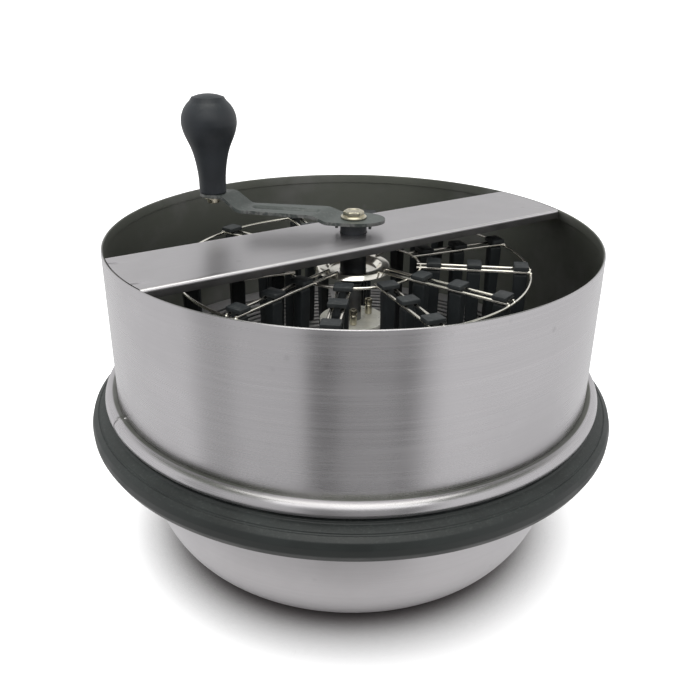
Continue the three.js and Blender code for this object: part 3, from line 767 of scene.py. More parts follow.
# ---- Bowl and seal ---------------------------------------------------------------------------

BOWL_CURVE = 2.5


def bowl_side(base, top, bottom, height, steps):
    """Points up the bowl's rounded side."""
    points = []
    for i in range(steps + 1):
        angle = (1 - i / steps) * math.pi / 2
        across = math.cos(angle) ** (2 / BOWL_CURVE)
        down = math.sin(angle) ** (2 / BOWL_CURVE)
        points.append((base + (top - base) * across, bottom + (height - bottom) * (1 - down)))
    return points


def make_bowl(sizes):
    wall = sizes.bowl_wall
    side_radius = BOWL_RIM - 17 * MM
    under_rim = BOWL_TOP - wall
    outside = bowl_side(sizes.bowl_base, side_radius, 0, under_rim - 1.5 * MM, 40)
    inside = bowl_side(sizes.bowl_base - wall, side_radius - wall, wall, BOWL_TOP - 2 * MM, 40)
    profile = [(0, 0)] + outside
    profile += rounded([outside[-1], (side_radius, under_rim, 1.2 * MM), (BOWL_RIM, under_rim)])[1:]
    profile += [(BOWL_RIM, BOWL_TOP)]
    profile += rounded([(BOWL_RIM, BOWL_TOP), (side_radius - wall, BOWL_TOP, 1.8 * MM), inside[-1]])[1:]
    profile += inside[::-1][1:] + [(0, wall)]
    return lathe("collecting_bowl", profile, 224)


def make_seal():
    inner = low_radius("rim_seal_ring")
    groove = BOWL_RIM + 0.3 * MM
    gap = 0.3 * MM
    corners = [
        (inner, SEAL_BOTTOM + 4 * MM, 1.5 * MM),
        (inner + 6 * MM, SEAL_BOTTOM, 4 * MM),
        (inner + 18 * MM, SEAL_BOTTOM, 5 * MM),
        (SEAL_OUTER - 4 * MM, SEAL_BOTTOM + 1.2 * MM, 4.5 * MM),
        (SEAL_OUTER - 0.4 * MM, SEAL_BOTTOM + 8 * MM, 4 * MM),
        (SEAL_OUTER, SEAL_BOTTOM + 14 * MM, 4 * MM),
        (SEAL_OUTER - 1.4 * MM, SEAL_BOTTOM + 19 * MM, 2.5 * MM),
        (SEAL_OUTER - 5.4 * MM, SEAL_BOTTOM + 22 * MM, 0.8 * MM),
        (SEAL_OUTER - 6 * MM, SEAL_BOTTOM + 21.4 * MM, 0.4 * MM),
        (SEAL_OUTER - 7 * MM, SEAL_BOTTOM + 21.9 * MM, 0.5 * MM),
        (SEAL_OUTER - 7.4 * MM, SEAL_BOTTOM + 23 * MM, 0.8 * MM),
        (SEAL_OUTER - 14.5 * MM, SEAL_TOP - 2.2 * MM, 1.5 * MM),
        (SEAL_OUTER - 15 * MM, SEAL_TOP - 0.6 * MM, 0.6 * MM),
        (SEAL_OUTER - 18 * MM, SEAL_TOP, 0.8 * MM),
        (inner, SEAL_TOP, 1.5 * MM),
        (inner, BOWL_TOP + gap, 0.3 * MM),
        (groove, BOWL_TOP + gap),
        (groove, BOWL_TOP - 1.3 * MM),
        (inner, BOWL_TOP - 1.3 * MM, 0.3 * MM),
    ]
    return lathe("rim_seal", rounded(corners, closed=True, steps=5), 224, closed=True)


def low_radius(node):
    """The smallest distance of a node's corners from the Z axis."""
    return min(math.hypot(v.co.x, v.co.y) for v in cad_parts[node].data.vertices)


# ---- Drum, cross bar and grate ---------------------------------------------------------------

BEAD_SEAM = math.radians(176)
SEAM_HALF_WIDTH = 0.2           # degrees
SEAM_EDGE = 0.5                 # degrees


def seam_angles(sides):
    """Even steps round the drum, with close ones at the bead's joint."""
    steps = [2 * math.pi * i / sides for i in range(sides)]
    offsets = (-1.1, -0.75, -0.42, -0.3, -0.12, 0.12, 0.3, 0.42, 0.75)
    close = [BEAD_SEAM + math.radians(degrees) for degrees in offsets]
    nearest = 0.006
    kept = [a for a in steps if min(abs(a - c) for c in close) > nearest]
    return sorted(kept + close)


def make_drum(sizes):
    """The drum's sheet: folded hem at the top, rolled bead and inward lip at the foot."""
    sheet = sizes.sheet
    centre_r = BEAD_OUTER - sizes.bead
    wall = centre_r - 4 * MM
    inner = wall - sheet
    centre_z = FOOT + sizes.bead
    inside = sizes.bead - sheet
    start = math.degrees(math.acos((wall - centre_r) / sizes.bead))
    end = math.degrees(math.acos((inner - centre_r) / inside))
    hem_bottom = RIM - sizes.hem
    lip = low_radius("drum_wall")
    profile = [(wall, RIM - sheet)]
    profile += [(wall, RIM - h * MM) for h in (10, 40, 80, 110)]
    profile += arc(centre_r, centre_z, sizes.bead, start, -90, 26)
    profile += [(lip, FOOT), (lip, FOOT + sheet)]
    profile += arc(centre_r, centre_z, inside, -90, end, 16)
    profile += [(inner, RIM - h * MM) for h in (110, 80, 40, 10)]
    profile += [(inner, hem_bottom - 0.2 * MM), (inner - 0.5 * sheet, hem_bottom),
                (inner - sheet, hem_bottom + 0.4 * MM)]
    profile += arc(wall - sheet, RIM - sheet, sheet, 180, 0, 8)[:-1]
    angles = seam_angles(240)
    rings = []
    for radius, height in profile:
        ring = circle(radius, height, 0, angles)
        out = math.hypot(radius - centre_r, height - centre_z)
        on_bead = inside + 0.4 * sheet < out < sizes.bead + 0.1 * MM
        if on_bead and height < centre_z + sizes.bead and radius > wall + 0.5 * MM:
            for i, angle in enumerate(angles):
                depth = seam_depth(angle)
                inward = Vector((centre_r - radius, centre_z - height)).normalized() * depth
                reach = radius + inward.x
                ring[i] = Vector((reach * math.cos(angle), reach * math.sin(angle), height + inward.y))
        rings.append(ring)
    return loft("drum_sheet_wall", rings, closed=True)


def seam_depth(angle):
    """How far the bead's joint dips at this angle: a narrow groove between two slightly dressed ends."""
    off = math.degrees(angle - BEAD_SEAM)
    if abs(off) < SEAM_HALF_WIDTH:
        return 1.5 * MM
    if abs(off) < SEAM_EDGE:
        return 0.35 * MM
    return 0


def make_bar(sizes):
    """A channel whose ends follow the drum, with a hole for the sleeve and a tab at each end."""
    bend = 2.6 * MM
    sheet = sizes.bar_sheet
    low = RIM - sizes.bar_lip
    outer = [(BAR_HALF, low), (BAR_HALF, RIM - bend)]
    outer += arc(BAR_HALF - bend, RIM - bend, bend, 0, 90, 8)[1:]
    outer += [(BAR_HALF * k / 8, RIM) for k in range(7, 0, -1)]
    inner = [(BAR_HALF - sheet, low), (BAR_HALF - sheet, RIM - bend)]
    inner += arc(BAR_HALF - bend, RIM - bend, bend - sheet, 0, 90, 8)[1:]
    inner += [(BAR_HALF * k / 8, RIM - sheet) for k in range(7, 0, -1)]
    section = outer + [(0, RIM)] + [(-y, z) for y, z in reversed(outer)]
    under = inner + [(0, RIM - sheet)] + [(-y, z) for y, z in reversed(inner)]
    outline = section + under[::-1]
    stations = [-1 + 2 * k / 24 for k in range(25)]
    rings = [[Vector((s * math.sqrt(BAR_END ** 2 - y * y), y, z)) for y, z in outline]
             for s in stations]
    bar = loft("channel_bar", rings)
    hole = sizes.sleeve + 0.5 * MM
    past = 20 * MM
    carve(bar, rod("hole", hole, RIM - past, RIM + past, 72))
    tab_half = 15 * MM
    tab_low = low_of("cross_bar").z
    tab_high = RIM - 0.7 * sheet
    tabs = [loft("tab", tab_rings(side, BAR_END, sheet, tab_half, tab_low, tab_high))
            for side in (-1, 1)]
    return joined("channel_bar", [bar] + tabs)


def tab_rings(side, radius, sheet, half_width, low, high):
    """Rings of a bent tab that hugs the drum's wall, swept through its width."""
    rings = []
    for k in range(9):
        y = half_width * (-1 + k / 4)
        drop = 3 * MM * abs(-1 + k / 4) ** 6
        out = side * math.sqrt(radius ** 2 - y * y)
        within = side * math.sqrt((radius - sheet) ** 2 - y * y)
        rings.append([Vector((out, y, low + drop)), Vector((out, y, high)),
                      Vector((within, y, high)), Vector((within, y, low + drop))])
    return rings


def make_grate(sizes):
    """A disc cut into fine arc slots between ribs, with a turned-down skirt and a rolled shoulder."""
    thickness = 1 * MM
    bottom = GRATE_TOP - thickness
    hole = 6.3 * MM
    first = 42 * MM
    rows = int((GRATE_OUTER - 10 * MM - first) / sizes.slot_pitch)
    edges = [hole, 25 * MM, first]
    for row in range(rows):
        start = first + row * sizes.slot_pitch
        edges += [start + sizes.slot_width, start + sizes.slot_pitch]
    sides = 144
    per_sector = 24
    rib_cells = 2
    solid = []
    for band in range(len(edges) - 1):
        slotted = band >= 2 and band % 2 == 0 and band < 2 + 2 * rows
        solid.append([not (slotted and cell % per_sector >= rib_cells) for cell in range(sides)])
    vertices, faces = slotted_disc(edges, solid, bottom, GRATE_TOP, sides)
    disc = mesh_object("slotted_disc", vertices, faces)
    shoulder = edges[-1] - 1 * MM
    skirt = rounded([
        (shoulder, bottom + 0.02 * MM),
        (GRATE_OUTER - thickness, bottom, 1 * MM),
        (GRATE_OUTER - thickness, SKIRT_BOTTOM),
        (GRATE_OUTER, SKIRT_BOTTOM),
        (GRATE_OUTER, GRATE_TOP - 0.02 * MM, 2 * MM),
        (shoulder, GRATE_TOP - 0.02 * MM),
    ], closed=True)
    ring = lathe("grate_skirt", skirt, sides, closed=True)
    return joined("slotted_grate", [disc, ring])


def slotted_disc(edges, solid, bottom, top, sides):
    """A flat disc of cells between the edge radii. Cells that aren't solid are left open."""
    vertices = []
    for height in (bottom, top):
        for radius in edges:
            vertices.extend(circle(radius, height, sides))
    layer = len(edges) * sides

    def index(band, cell, level):
        return level * layer + band * sides + cell % sides

    def is_solid(band, cell):
        return 0 <= band < len(solid) and solid[band][cell % sides]

    faces = []
    for band in range(len(solid)):
        for cell in range(sides):
            if not is_solid(band, cell):
                continue
            ring = [(band, cell), (band + 1, cell), (band + 1, cell + 1), (band, cell + 1)]
            faces.append([index(b, c, 1) for b, c in ring])
            faces.append([index(b, c, 0) for b, c in reversed(ring)])
            beyond = [(band, cell - 1), (band + 1, cell), (band, cell + 1), (band - 1, cell)]
            for k, (next_band, next_cell) in enumerate(beyond):
                if is_solid(next_band, next_cell):
                    continue
                a, b = ring[k], ring[(k + 1) % 4]
                faces.append([index(*a, 1), index(*a, 0), index(*b, 0), index(*b, 1)])
    used = sorted({i for face in faces for i in face})
    renumber = {old: new for new, old in enumerate(used)}
    return [vertices[i] for i in used], [tuple(renumber[i] for i in face) for face in faces]


# ---- Gearbox ---------------------------------------------------------------------------------

SUN_TEETH = 15
RING_TEETH = 45
MODULE = 1 * MM
PLAY = 0.16 * MM
GEAR_SIDES = 360


def outer_gear(teeth):
    pitch = MODULE * teeth / 2
    return gear_radius(teeth, pitch - 1.25 * MODULE, pitch + MODULE, 1.0 * MODULE - PLAY,
                       0.42 * MODULE - PLAY / 2)


def make_housing():
    """The casting: a thick top with a bore, and a toothed cavity open to the grate."""
    radius = high_of("gearbox_housing").x
    pitch = MODULE * RING_TEETH / 2
    space = gear_radius(RING_TEETH, pitch - 0.8 * MODULE, pitch + 1.3 * MODULE,
                        1.1 * MODULE, 0.5 * MODULE)
    roof = GEAR_HIGH + 0.4 * MM
    carrier_roof = roof + 5 * MM
    carrier_room = 20.5 * MM
    bore = 7.8 * MM
    n = GEAR_SIDES
    foot = radius + 1.2 * MM
    chamfer = 0.8 * MM
    rings = [circle(foot, HOUSING_LOW, n), circle(foot, HOUSING_LOW + 2 * MM, n)]
    rings += [circle(radius, HOUSING_LOW + 3.2 * MM, n), circle(radius, HOUSING_HIGH - chamfer, n)]
    rings += [circle(radius - chamfer, HOUSING_HIGH, n), circle(bore, HOUSING_HIGH, n)]
    rings += [circle(bore, carrier_roof, n), circle(carrier_room, carrier_roof, n)]
    rings += [circle(carrier_room, roof, n), polar_loop(space, roof, n)]
    rings += [polar_loop(space, HOUSING_LOW, n)]
    return loft("gearbox_casting", rings, closed=True, sharp_degrees=28)


def make_cover():
    """A plate with one flat edge, chamfered all round, that the three screws go through."""
    radius = 28.5 * MM
    flat = 26 * MM
    turn = math.radians(-33)
    bore = 7.8 * MM
    n = 180

    def outline(inset):
        def radius_at(angle):
            off = math.cos(angle - turn)
            if off > 0.05:
                return min(radius - inset, (flat - inset) / off)
            return radius - inset
        return radius_at

    chamfer = 0.7 * MM
    rings = [
        polar_loop(outline(0.4 * MM), COVER_BOTTOM, n),
        polar_loop(outline(0), COVER_BOTTOM + 0.4 * MM, n),
        polar_loop(outline(0), COVER_TOP - chamfer, n),
        polar_loop(outline(chamfer), COVER_TOP, n),
        circle(bore + 3 * MM, COVER_TOP, n),
        circle(bore + 2.6 * MM, COVER_TOP - 0.5 * MM, n),
        circle(bore, COVER_TOP - 0.5 * MM, n),
        circle(bore, COVER_BOTTOM, n),
    ]
    cover = loft("gearbox_lid", rings, closed=True, sharp_degrees=28)
    for k in range(3):
        at = centre_of(f"cover_screw_{k + 1}")
        carve(cover, rod("hole", 2.3 * MM, COVER_BOTTOM - MM, COVER_TOP + MM, 32, (at.x, at.y)))
    return cover


def make_screw(number):
    """A tall cover screw: round head with a recess, a groove under it and a plain shank."""
    low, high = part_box(f"cover_screw_{number}")
    at = centre_of(f"cover_screw_{number}")
    seat = COVER_TOP + 0.3 * MM
    profile = rounded([
        (0, low.z),
        (2 * MM, low.z, 0.4 * MM),
        (2 * MM, seat),
        (3 * MM, seat, 0.2 * MM),
        (3 * MM, high.z - 6 * MM, 0.3 * MM),
        (2.4 * MM, high.z - 5 * MM, 0.3 * MM),
        (3.3 * MM, high.z - 4.2 * MM, 0.3 * MM),
        (3.3 * MM, high.z, 0.7 * MM),
        (1.5 * MM, high.z, 0.1 * MM),
        (1.5 * MM, high.z - 1.8 * MM),
        (0, high.z - 2.2 * MM),
    ])
    screw = lathe(f"tall_screw_{number}", profile, 40)
    screw.data.transform(Matrix.Translation((at.x, at.y, 0)))
    return screw


def make_carrier():
    """The planets' carrier, its three pins and the input shaft with a hexagonal key."""
    key_top = high_of("planet_carrier").z
    shaft_top = SLEEVE_LOW - 0.3 * MM
    disc_low = GEAR_HIGH + 1 * MM
    disc_high = disc_low + 3.8 * MM
    shaft = 7.5 * MM
    n = 96
    rings = [[Vector((0, 0, disc_low))]]
    rings += [circle(r, z, n) for r, z in rounded([
        (4 * MM, disc_low), (19.5 * MM, disc_low, 0.4 * MM), (19.5 * MM, disc_high, 0.4 * MM),
        (shaft, disc_high, 0.6 * MM), (shaft, shaft_top, 0.5 * MM), (5 * MM, shaft_top)])]
    rings += hex_rings(4.5 * MM, shaft_top, key_top, 0.6 * MM, n)
    rings += [[Vector((0, 0, key_top))]]
    carrier = loft("carrier_and_shaft", rings)
    for k in range(3):
        at = centre_of(f"planet_gear_{k + 1}")
        carve(carrier, rod("pin", 3 * MM, GEAR_LOW, disc_low + MM, 40, (at.x, at.y)), "UNION")
    return carrier


def make_planet(number):
    """A planet gear with chamfered teeth and a bored hub."""
    at = centre_of(f"planet_gear_{number}")
    outline = outer_gear(SUN_TEETH)
    n = GEAR_SIDES
    chamfer = 0.4 * MM
    bore = 3.3 * MM

    def trimmed(angle):
        return min(outline(angle), 8.1 * MM)

    rings = [polar_loop(trimmed, GEAR_LOW, n), polar_loop(outline, GEAR_LOW + chamfer, n),
             polar_loop(outline, GEAR_HIGH - chamfer, n), polar_loop(trimmed, GEAR_HIGH, n)]
    rings += [circle(bore + 0.3 * MM, GEAR_HIGH, n), circle(bore, GEAR_HIGH - 0.3 * MM, n)]
    rings += [circle(bore, GEAR_LOW + 0.3 * MM, n), circle(bore + 0.3 * MM, GEAR_LOW, n)]
    planet = loft(f"planet_wheel_{number}", rings, closed=True, sharp_degrees=25)
    turn = Matrix.Rotation(math.atan2(at.y, at.x), 4, "Z")
    planet.data.transform(Matrix.Translation((at.x, at.y, 0)) @ turn)
    return planet


# ---- Blades ----------------------------------------------------------------------------------


def make_spindle():
    """The blades' spindle: sun gear, journal, driving square and thread."""
    low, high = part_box("blade_spindle")
    blade_low = low_of("serrated_blade").z
    square = polygon_radius(4.2 * MM, 4)
    square_top = high_of("straight_blade").z + 0.3 * MM
    square_bottom = blade_low - 0.3 * MM
    outline = outer_gear(SUN_TEETH)
    n = GEAR_SIDES
    thread = 3.5 * MM
    rings = [[Vector((0, 0, low.z))], circle(thread - 0.6 * MM, low.z, n)]
    z = low.z + 0.6 * MM
    while z < square_bottom - 0.6 * MM:
        rings += [circle(thread, z, n), circle(thread - 0.45 * MM, z + 0.5 * MM, n)]
        z += 1.0 * MM
    rings += [circle(thread, square_bottom, n), polar_loop(square, square_bottom, n),
              polar_loop(square, square_top, n), circle(6 * MM, square_top, n),
              circle(6 * MM, GEAR_LOW, n), polar_loop(outline, GEAR_LOW, n),
              polar_loop(outline, high.z, n), [Vector((0, 0, high.z))]]
    return loft("sun_and_spindle", rings, sharp_degrees=25)


def make_straight_blade():
    """A flat bar with a long ground edge on the leading side of each half."""
    low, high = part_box("straight_blade")
    half = high.y
    ground = 5 * MM
    edge = high.z - 0.25 * MM

    def section(x, sharp):
        front = [(half, high.z), (half, edge), (half - ground, low.z)]
        back = [(-half, high.z), (-half, low.z), (-half + ground, low.z)]
        plain = [(half, high.z), (half, low.z), (half - ground, low.z)]
        if sharp == 0:
            points = plain + [(-y, z) for y, z in reversed(plain)]
        elif sharp > 0:
            points = front + back[::-1]
        else:
            points = [(-y, z) for y, z in back] + [(-y, z) for y, z in reversed(front)]
        return [Vector((x, y, z)) for y, z in points]

    hub = 34 * MM
    tip = BLADE_REACH
    rings = [section(-tip, -1), section(-hub - 3 * MM, -1), section(-hub, 0), section(hub, 0),
             section(hub + 3 * MM, 1), section(tip, 1)]
    blade = loft("straight_knife", rings, sharp_degrees=12)
    return carve(blade, square_cutter(low.z, high.z))


def square_cutter(low, high):
    square = polygon_radius(4.5 * MM, 4)
    return loft("cutter", [polar_loop(square, low - MM, 64), polar_loop(square, high + MM, 64)])


def make_serrated_blade():
    """A flat bar with pointed, scalloped teeth on the leading side of each half."""
    low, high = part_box("serrated_blade")
    half = high.x
    reach = high.y
    first = 40 * MM
    teeth = 14
    pitch = (reach - first) / teeth
    scallop = 4 * MM
    side = [(reach, -half), (reach, half)]
    for i in range(teeth - 1, -1, -1):
        for k in range(1, 9):
            share = k / 8
            depth = scallop * math.sin(math.pi * share)
            side.append((first + (i + 1 - share) * pitch, half - depth))
    outline = side + [(-x, -y) for x, y in side]
    inset = 0.7
    rings = []
    for z, ease in ((low.z, inset), (high.z - 0.2 * MM, 0), (high.z, 0.15)):
        rings.append([Vector((-(y - math.copysign(ease * MM, y)), x, z)) for x, y in outline])
    blade = loft("serrated_knife", rings, sharp_degrees=20)
    return carve(blade, square_cutter(low.z, high.z))


def make_nut():
    low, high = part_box("blade_nut")
    hexagon = hex_rings(6.5 * MM, -high.z, -low.z, 0.8 * MM)
    rings = [[Vector((p.x, -p.y, -p.z)) for p in ring] for ring in hexagon]
    hole = 3.8 * MM
    rings += [circle(hole, low.z, 96), circle(hole, high.z, 96)]
    rings[-2:] = [[Vector((p.x, -p.y, p.z)) for p in ring] for ring in rings[-2:]]
    return loft("blade_lock_nut", rings, closed=True)


# ---- Crank -----------------------------------------------------------------------------------

HUB_LEVEL = 11.9 * MM
SPAN_LEVEL = 17.4 * MM
TIP_LEVEL = 29.2 * MM
SPAN_RISE = 0.8 * MM            # how far the span slopes either side of its level
ARM_SLANT = 0.36                # how far the bends lean along the arm for each unit across it
ARM_NOSE = -26 * MM
ARM_TIP = 10.5 * MM             # radius of the arm's end under the grip


def smooth_levels(x, stops):
    """Height at x along a line through the stops, with each bend rounded."""
    soft = 2.2 * MM

    def straight(at):
        for (x0, z0), (x1, z1) in zip(stops, stops[1:]):
            if at <= x1:
                return z0 + (z1 - z0) * (at - x0) / (x1 - x0)
        return stops[-1][1]

    samples = [straight(max(stops[0][0], min(stops[-1][0], x + soft * k / 3))) for k in range(-3, 4)]
    return sum(samples) / len(samples)


def arm_half_width(x):
    """Half the arm's width at x: round at the grip, tapered, and a long nose behind the hub."""
    hub = 17.3 * MM
    shoulder = 15.6 * MM
    shoulder_at = 20 * MM
    if x > ARM_REACH:
        return math.sqrt(max(0, ARM_TIP ** 2 - (x - ARM_REACH) ** 2))
    if x > shoulder_at:
        return ARM_TIP + (shoulder - ARM_TIP) * (ARM_REACH - x) / (ARM_REACH - shoulder_at)
    if x > 0:
        return hub - (hub - shoulder) * (x / shoulder_at) ** 2
    return hub * max(0, 1 - (x / ARM_NOSE) ** 2.3) ** 0.5


def make_arm(sizes):
    """A pressed strip with two joggles, a long groove, holes for its bolts and two ears on the hub."""
    end = ARM_REACH + ARM_TIP
    length = end - ARM_NOSE
    stops = [(-45 * MM, HUB_LEVEL), (17 * MM, HUB_LEVEL), (27 * MM, SPAN_LEVEL - SPAN_RISE),
             (91 * MM, SPAN_LEVEL + SPAN_RISE), (104 * MM, TIP_LEVEL), (end + 15 * MM, TIP_LEVEL)]
    steps = 170
    across = [math.sin(math.pi / 2 * (-1 + k / 11)) for k in range(23)]
    middle = [ARM_NOSE + length * 0.5 * (1 - math.cos(math.pi * k / steps)) for k in range(1, steps)]
    top = []
    under = []
    for x in middle:
        half = arm_half_width(x)
        for s in across:
            level = RIM + smooth_levels(x - ARM_SLANT * s * half, stops)
            dip = groove_depth(x, s * half)
            top.append(Vector((x, s * half, level - dip)))
            under.append(Vector((x, s * half, level - dip - sizes.arm_sheet)))
    arm = shell_from_grids("pressed_arm", top, under, len(middle), len(across),
                           Vector((ARM_NOSE, 0, RIM + HUB_LEVEL)), Vector((end, 0, RIM + TIP_LEVEL)),
                           sizes.arm_sheet)
    bevel(arm, 0.7 * MM, 3, 50)
    hub_hole = 5.3 * MM
    grip_hole = 4.3 * MM
    carve(arm, rod("hole", hub_hole, RIM, RIM + 40 * MM, 48))
    carve(arm, rod("hole", grip_hole, RIM, RIM + 60 * MM, 48, (ARM_REACH, 0)))
    ear_top = RIM + HUB_LEVEL - 1 * MM
    ear_at, ear_thick, ear_wide, ear_deep = 13.8 * MM, 1.2 * MM, 3.5 * MM, 7.5 * MM
    for side in (-1, 1):
        corners = ((-ear_thick, -ear_wide), (ear_thick, -ear_wide),
                   (ear_thick, ear_wide), (-ear_thick, ear_wide))
        ear = [[Vector((side * ear_at + x, y, z)) for x, y in corners]
               for z in (ear_top - ear_deep, ear_top)]
        carve(arm, bevel(loft("ear", ear), 0.5 * MM), "UNION")
    arm.data.transform(Matrix.Rotation(ARM_TURN, 4, "Z"))
    return arm


def groove_depth(x, y):
    """The long pressed groove along the arm's span, with round ends and soft sides."""
    start = 31.5 * MM
    stop = 80.5 * MM
    half = 3.3 * MM
    centre_x = max(start, min(stop, x))
    off = math.hypot(x - centre_x, y) / half
    brink = 1.3
    slope = 0.55
    if off >= brink:
        return 0
    share = min(1, max(0, (brink - off) / slope))
    return 1.6 * MM * share * share * (3 - 2 * share)


def shell_from_grids(name, top, under, rows, columns, nose, tip, thickness):
    """A closed sheet from a grid of points on top and one underneath, pointed at its two ends."""
    vertices = top + under
    lower = len(top)
    drop = Vector((0, 0, thickness))
    vertices += [nose, nose - drop, tip, tip - drop]
    nose_top, nose_low, tip_top, tip_low = range(len(vertices) - 4, len(vertices))
    faces = []
    for r in range(rows - 1):
        for c in range(columns - 1):
            a = r * columns + c
            quad = (a, a + columns, a + columns + 1, a + 1)
            faces.append(quad)
            faces.append(tuple(lower + i for i in reversed(quad)))
        for c in (0, columns - 1):
            a = r * columns + c
            faces.append((a, a + columns, lower + a + columns, lower + a))
    for row, end_top, end_low in ((0, nose_top, nose_low), (rows - 1, tip_top, tip_low)):
        first = row * columns
        last = first + columns - 1
        for a in range(first, last):
            faces.append((a, a + 1, end_top))
            faces.append((lower + a + 1, lower + a, end_low))
        faces.append((first, end_top, end_low, lower + first))
        faces.append((end_top, last, lower + last, end_low))
    return mesh_object(name, vertices, faces)


def make_crank_bolt():
    """A flanged hexagon bolt in the end of the sleeve."""
    low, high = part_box("crank_bolt")
    seat = high.z - 5.9 * MM
    n = 96
    rings = [[Vector((0, 0, low.z))]]
    shank = 4.3 * MM
    flange = 10.7 * MM
    head_low = seat + 2.3 * MM
    rings += [circle(r, z, n) for r, z in rounded([
        (3.7 * MM, low.z),
        (shank, low.z + 0.6 * MM),
        (shank, seat),
        (flange, seat, 0.4 * MM),
        (flange, seat + 1.3 * MM, 0.5 * MM),
        (9.4 * MM, seat + 2.1 * MM, 0.5 * MM),
        (8 * MM, head_low),
    ])]
    rings += hex_rings(7.7 * MM, head_low, high.z, 0.9 * MM, n)
    rings += [circle(5.4 * MM, high.z, n), circle(5 * MM, high.z - 0.35 * MM, n),
              [Vector((0, 0, high.z - 0.35 * MM))]]
    return loft("flanged_crank_bolt", rings, sharp_degrees=25)


def make_grip_bolt():
    """The bolt under the grip: button head, washer and a shank up into the grip."""
    low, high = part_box("grip_bolt")
    washer = low.z + 3.9 * MM
    seat = low.z + 5.5 * MM
    profile = rounded([
        (0, low.z),
        (2.2 * MM, low.z, 0.2 * MM),
        (5.2 * MM, low.z, 1.2 * MM),
        (5.4 * MM, washer, 0.2 * MM),
        (7.6 * MM, washer, 0.3 * MM),
        (7.6 * MM, seat, 0.3 * MM),
        (4 * MM, seat),
        (4 * MM, high.z, 0.5 * MM),
        (0, high.z),
    ])
    bolt = lathe("grip_pivot_bolt", profile, 64)
    bolt.data.transform(Matrix.Translation((GRIP_AT.x, GRIP_AT.y, 0)))
    return bolt


def make_grip():
    """A bulb-shaped grip with a slightly raised cap line and a bore for its bolt."""
    height = GRIP_HIGH - GRIP_LOW
    stations = [(10.6, 0.0), (10.9, 0.8), (11, 5), (11.1, 11), (11.6, 17), (12.6, 24), (14.2, 31.5),
                (16.3, 38), (18.7, 43.5), (20.7, 48.6), (21.9, 53.6), (22.2, 57), (21.8, 61.5),
                (20.2, 66.2), (17.8, 70), (14.8, 73.2)]
    scale = height / (78.5 * MM)
    smooth = spline([Vector((r * MM, GRIP_LOW + z * MM * scale)) for r, z in stations], 5)
    cap = GRIP_HIGH - 3.7 * MM
    profile = [(p.x, p.y) for p in smooth]
    profile += [(12.9 * MM, cap + 1.25 * MM), (12.6 * MM, cap + 0.9 * MM), (12.2 * MM, cap + 0.9 * MM),
                (11.9 * MM, cap + 1.5 * MM)]
    crown = ((10.5, 1.6), (8, 0.85), (5, 0.3), (2, 0.05))
    profile += [(r * MM, GRIP_HIGH - drop * MM) for r, drop in crown]
    profile += [(0, GRIP_HIGH)]
    bore = 4.3 * MM
    inside = [(0, GRIP_LOW + 46 * MM), (bore, GRIP_LOW + 46 * MM), (bore, GRIP_LOW + 0.5 * MM),
              (bore + 0.5 * MM, GRIP_LOW)]
    grip = lathe("bulb_grip", inside + profile, 96, sharp_degrees=28)
    grip.data.transform(Matrix.Translation((GRIP_AT.x, GRIP_AT.y, 0)))
    return grip


def spline(points, steps):
    """Points on a smooth curve through all of the given ones."""
    curve = []
    for i in range(len(points) - 1):
        before = points[max(0, i - 1)]
        a, b = points[i], points[i + 1]
        after = points[min(len(points) - 1, i + 2)]
        for k in range(steps):
            t = k / steps
            curve.append(0.5 * ((2 * a) + (b - before) * t + (2 * before - 5 * a + 4 * b - after) * t * t
                                + (3 * a - before - 3 * b + after) * t ** 3))
    curve.append(points[-1])
    return curve


def make_sleeve(sizes):
    """The drive sleeve: a plain tube with a hexagonal bore and eased ends."""
    radius = sizes.sleeve
    bore = polygon_radius(4.75 * MM, 6)
    n = 96
    ease = 0.6 * MM
    rings = [circle(radius - ease, SLEEVE_LOW, n), circle(radius, SLEEVE_LOW + ease, n),
             circle(radius, SLEEVE_HIGH - ease, n), circle(radius - ease, SLEEVE_HIGH, n),
             polar_loop(bore, SLEEVE_HIGH, n), polar_loop(bore, SLEEVE_LOW, n)]
    sleeve = loft("drive_tube", rings, closed=True)
    turn = math.pi / 6
    sleeve.data.transform(Matrix.Rotation(turn, 4, "Z"))
    return sleeve


# ---- Tumbler ---------------------------------------------------------------------------------

SPOKES = 12
FIRST_SPOKE = math.radians(-9)
INNER_RING = 57 * MM


def spoke_angle(number):
    return FIRST_SPOKE + 2 * math.pi * number / SPOKES


def make_tumbler(sizes):
    """Two wire rings, twelve pairs of wires with weld drops at the rings, and the spun hub dish."""
    wire = sizes.wire
    level = high_of("tumbler_frame").z - wire
    ring_level = level - 1.7 * MM
    outer_ring = FRAME_OUTER - wire
    parts = [torus_data(outer_ring, wire, ring_level), torus_data(INNER_RING, wire, ring_level, 96)]
    for k in range(SPOKES):
        start = 27 * MM if k % 3 == 1 else INNER_RING - 3.5 * MM
        turn = Matrix.Rotation(spoke_angle(k), 3, "Z")
        for side in (-1, 1):
            y = side * sizes.spoke_gap / 2
            inner_end = turn @ Vector((start, y, level))
            outer_end = turn @ Vector((outer_ring, y, level))
            parts.append(capsule(inner_end, outer_end, wire))
            for radius in (outer_ring, INNER_RING):
                x = math.sqrt(radius ** 2 - y * y)
                drop = Vector((1.5 * MM, 1.5 * MM, 1.1 * MM))
                parts.append(blob_data(turn @ Vector((x, y, (level + ring_level) / 2)), drop))
    parts.append(hub_dish_data())
    return merged("wire_tumbler", parts)


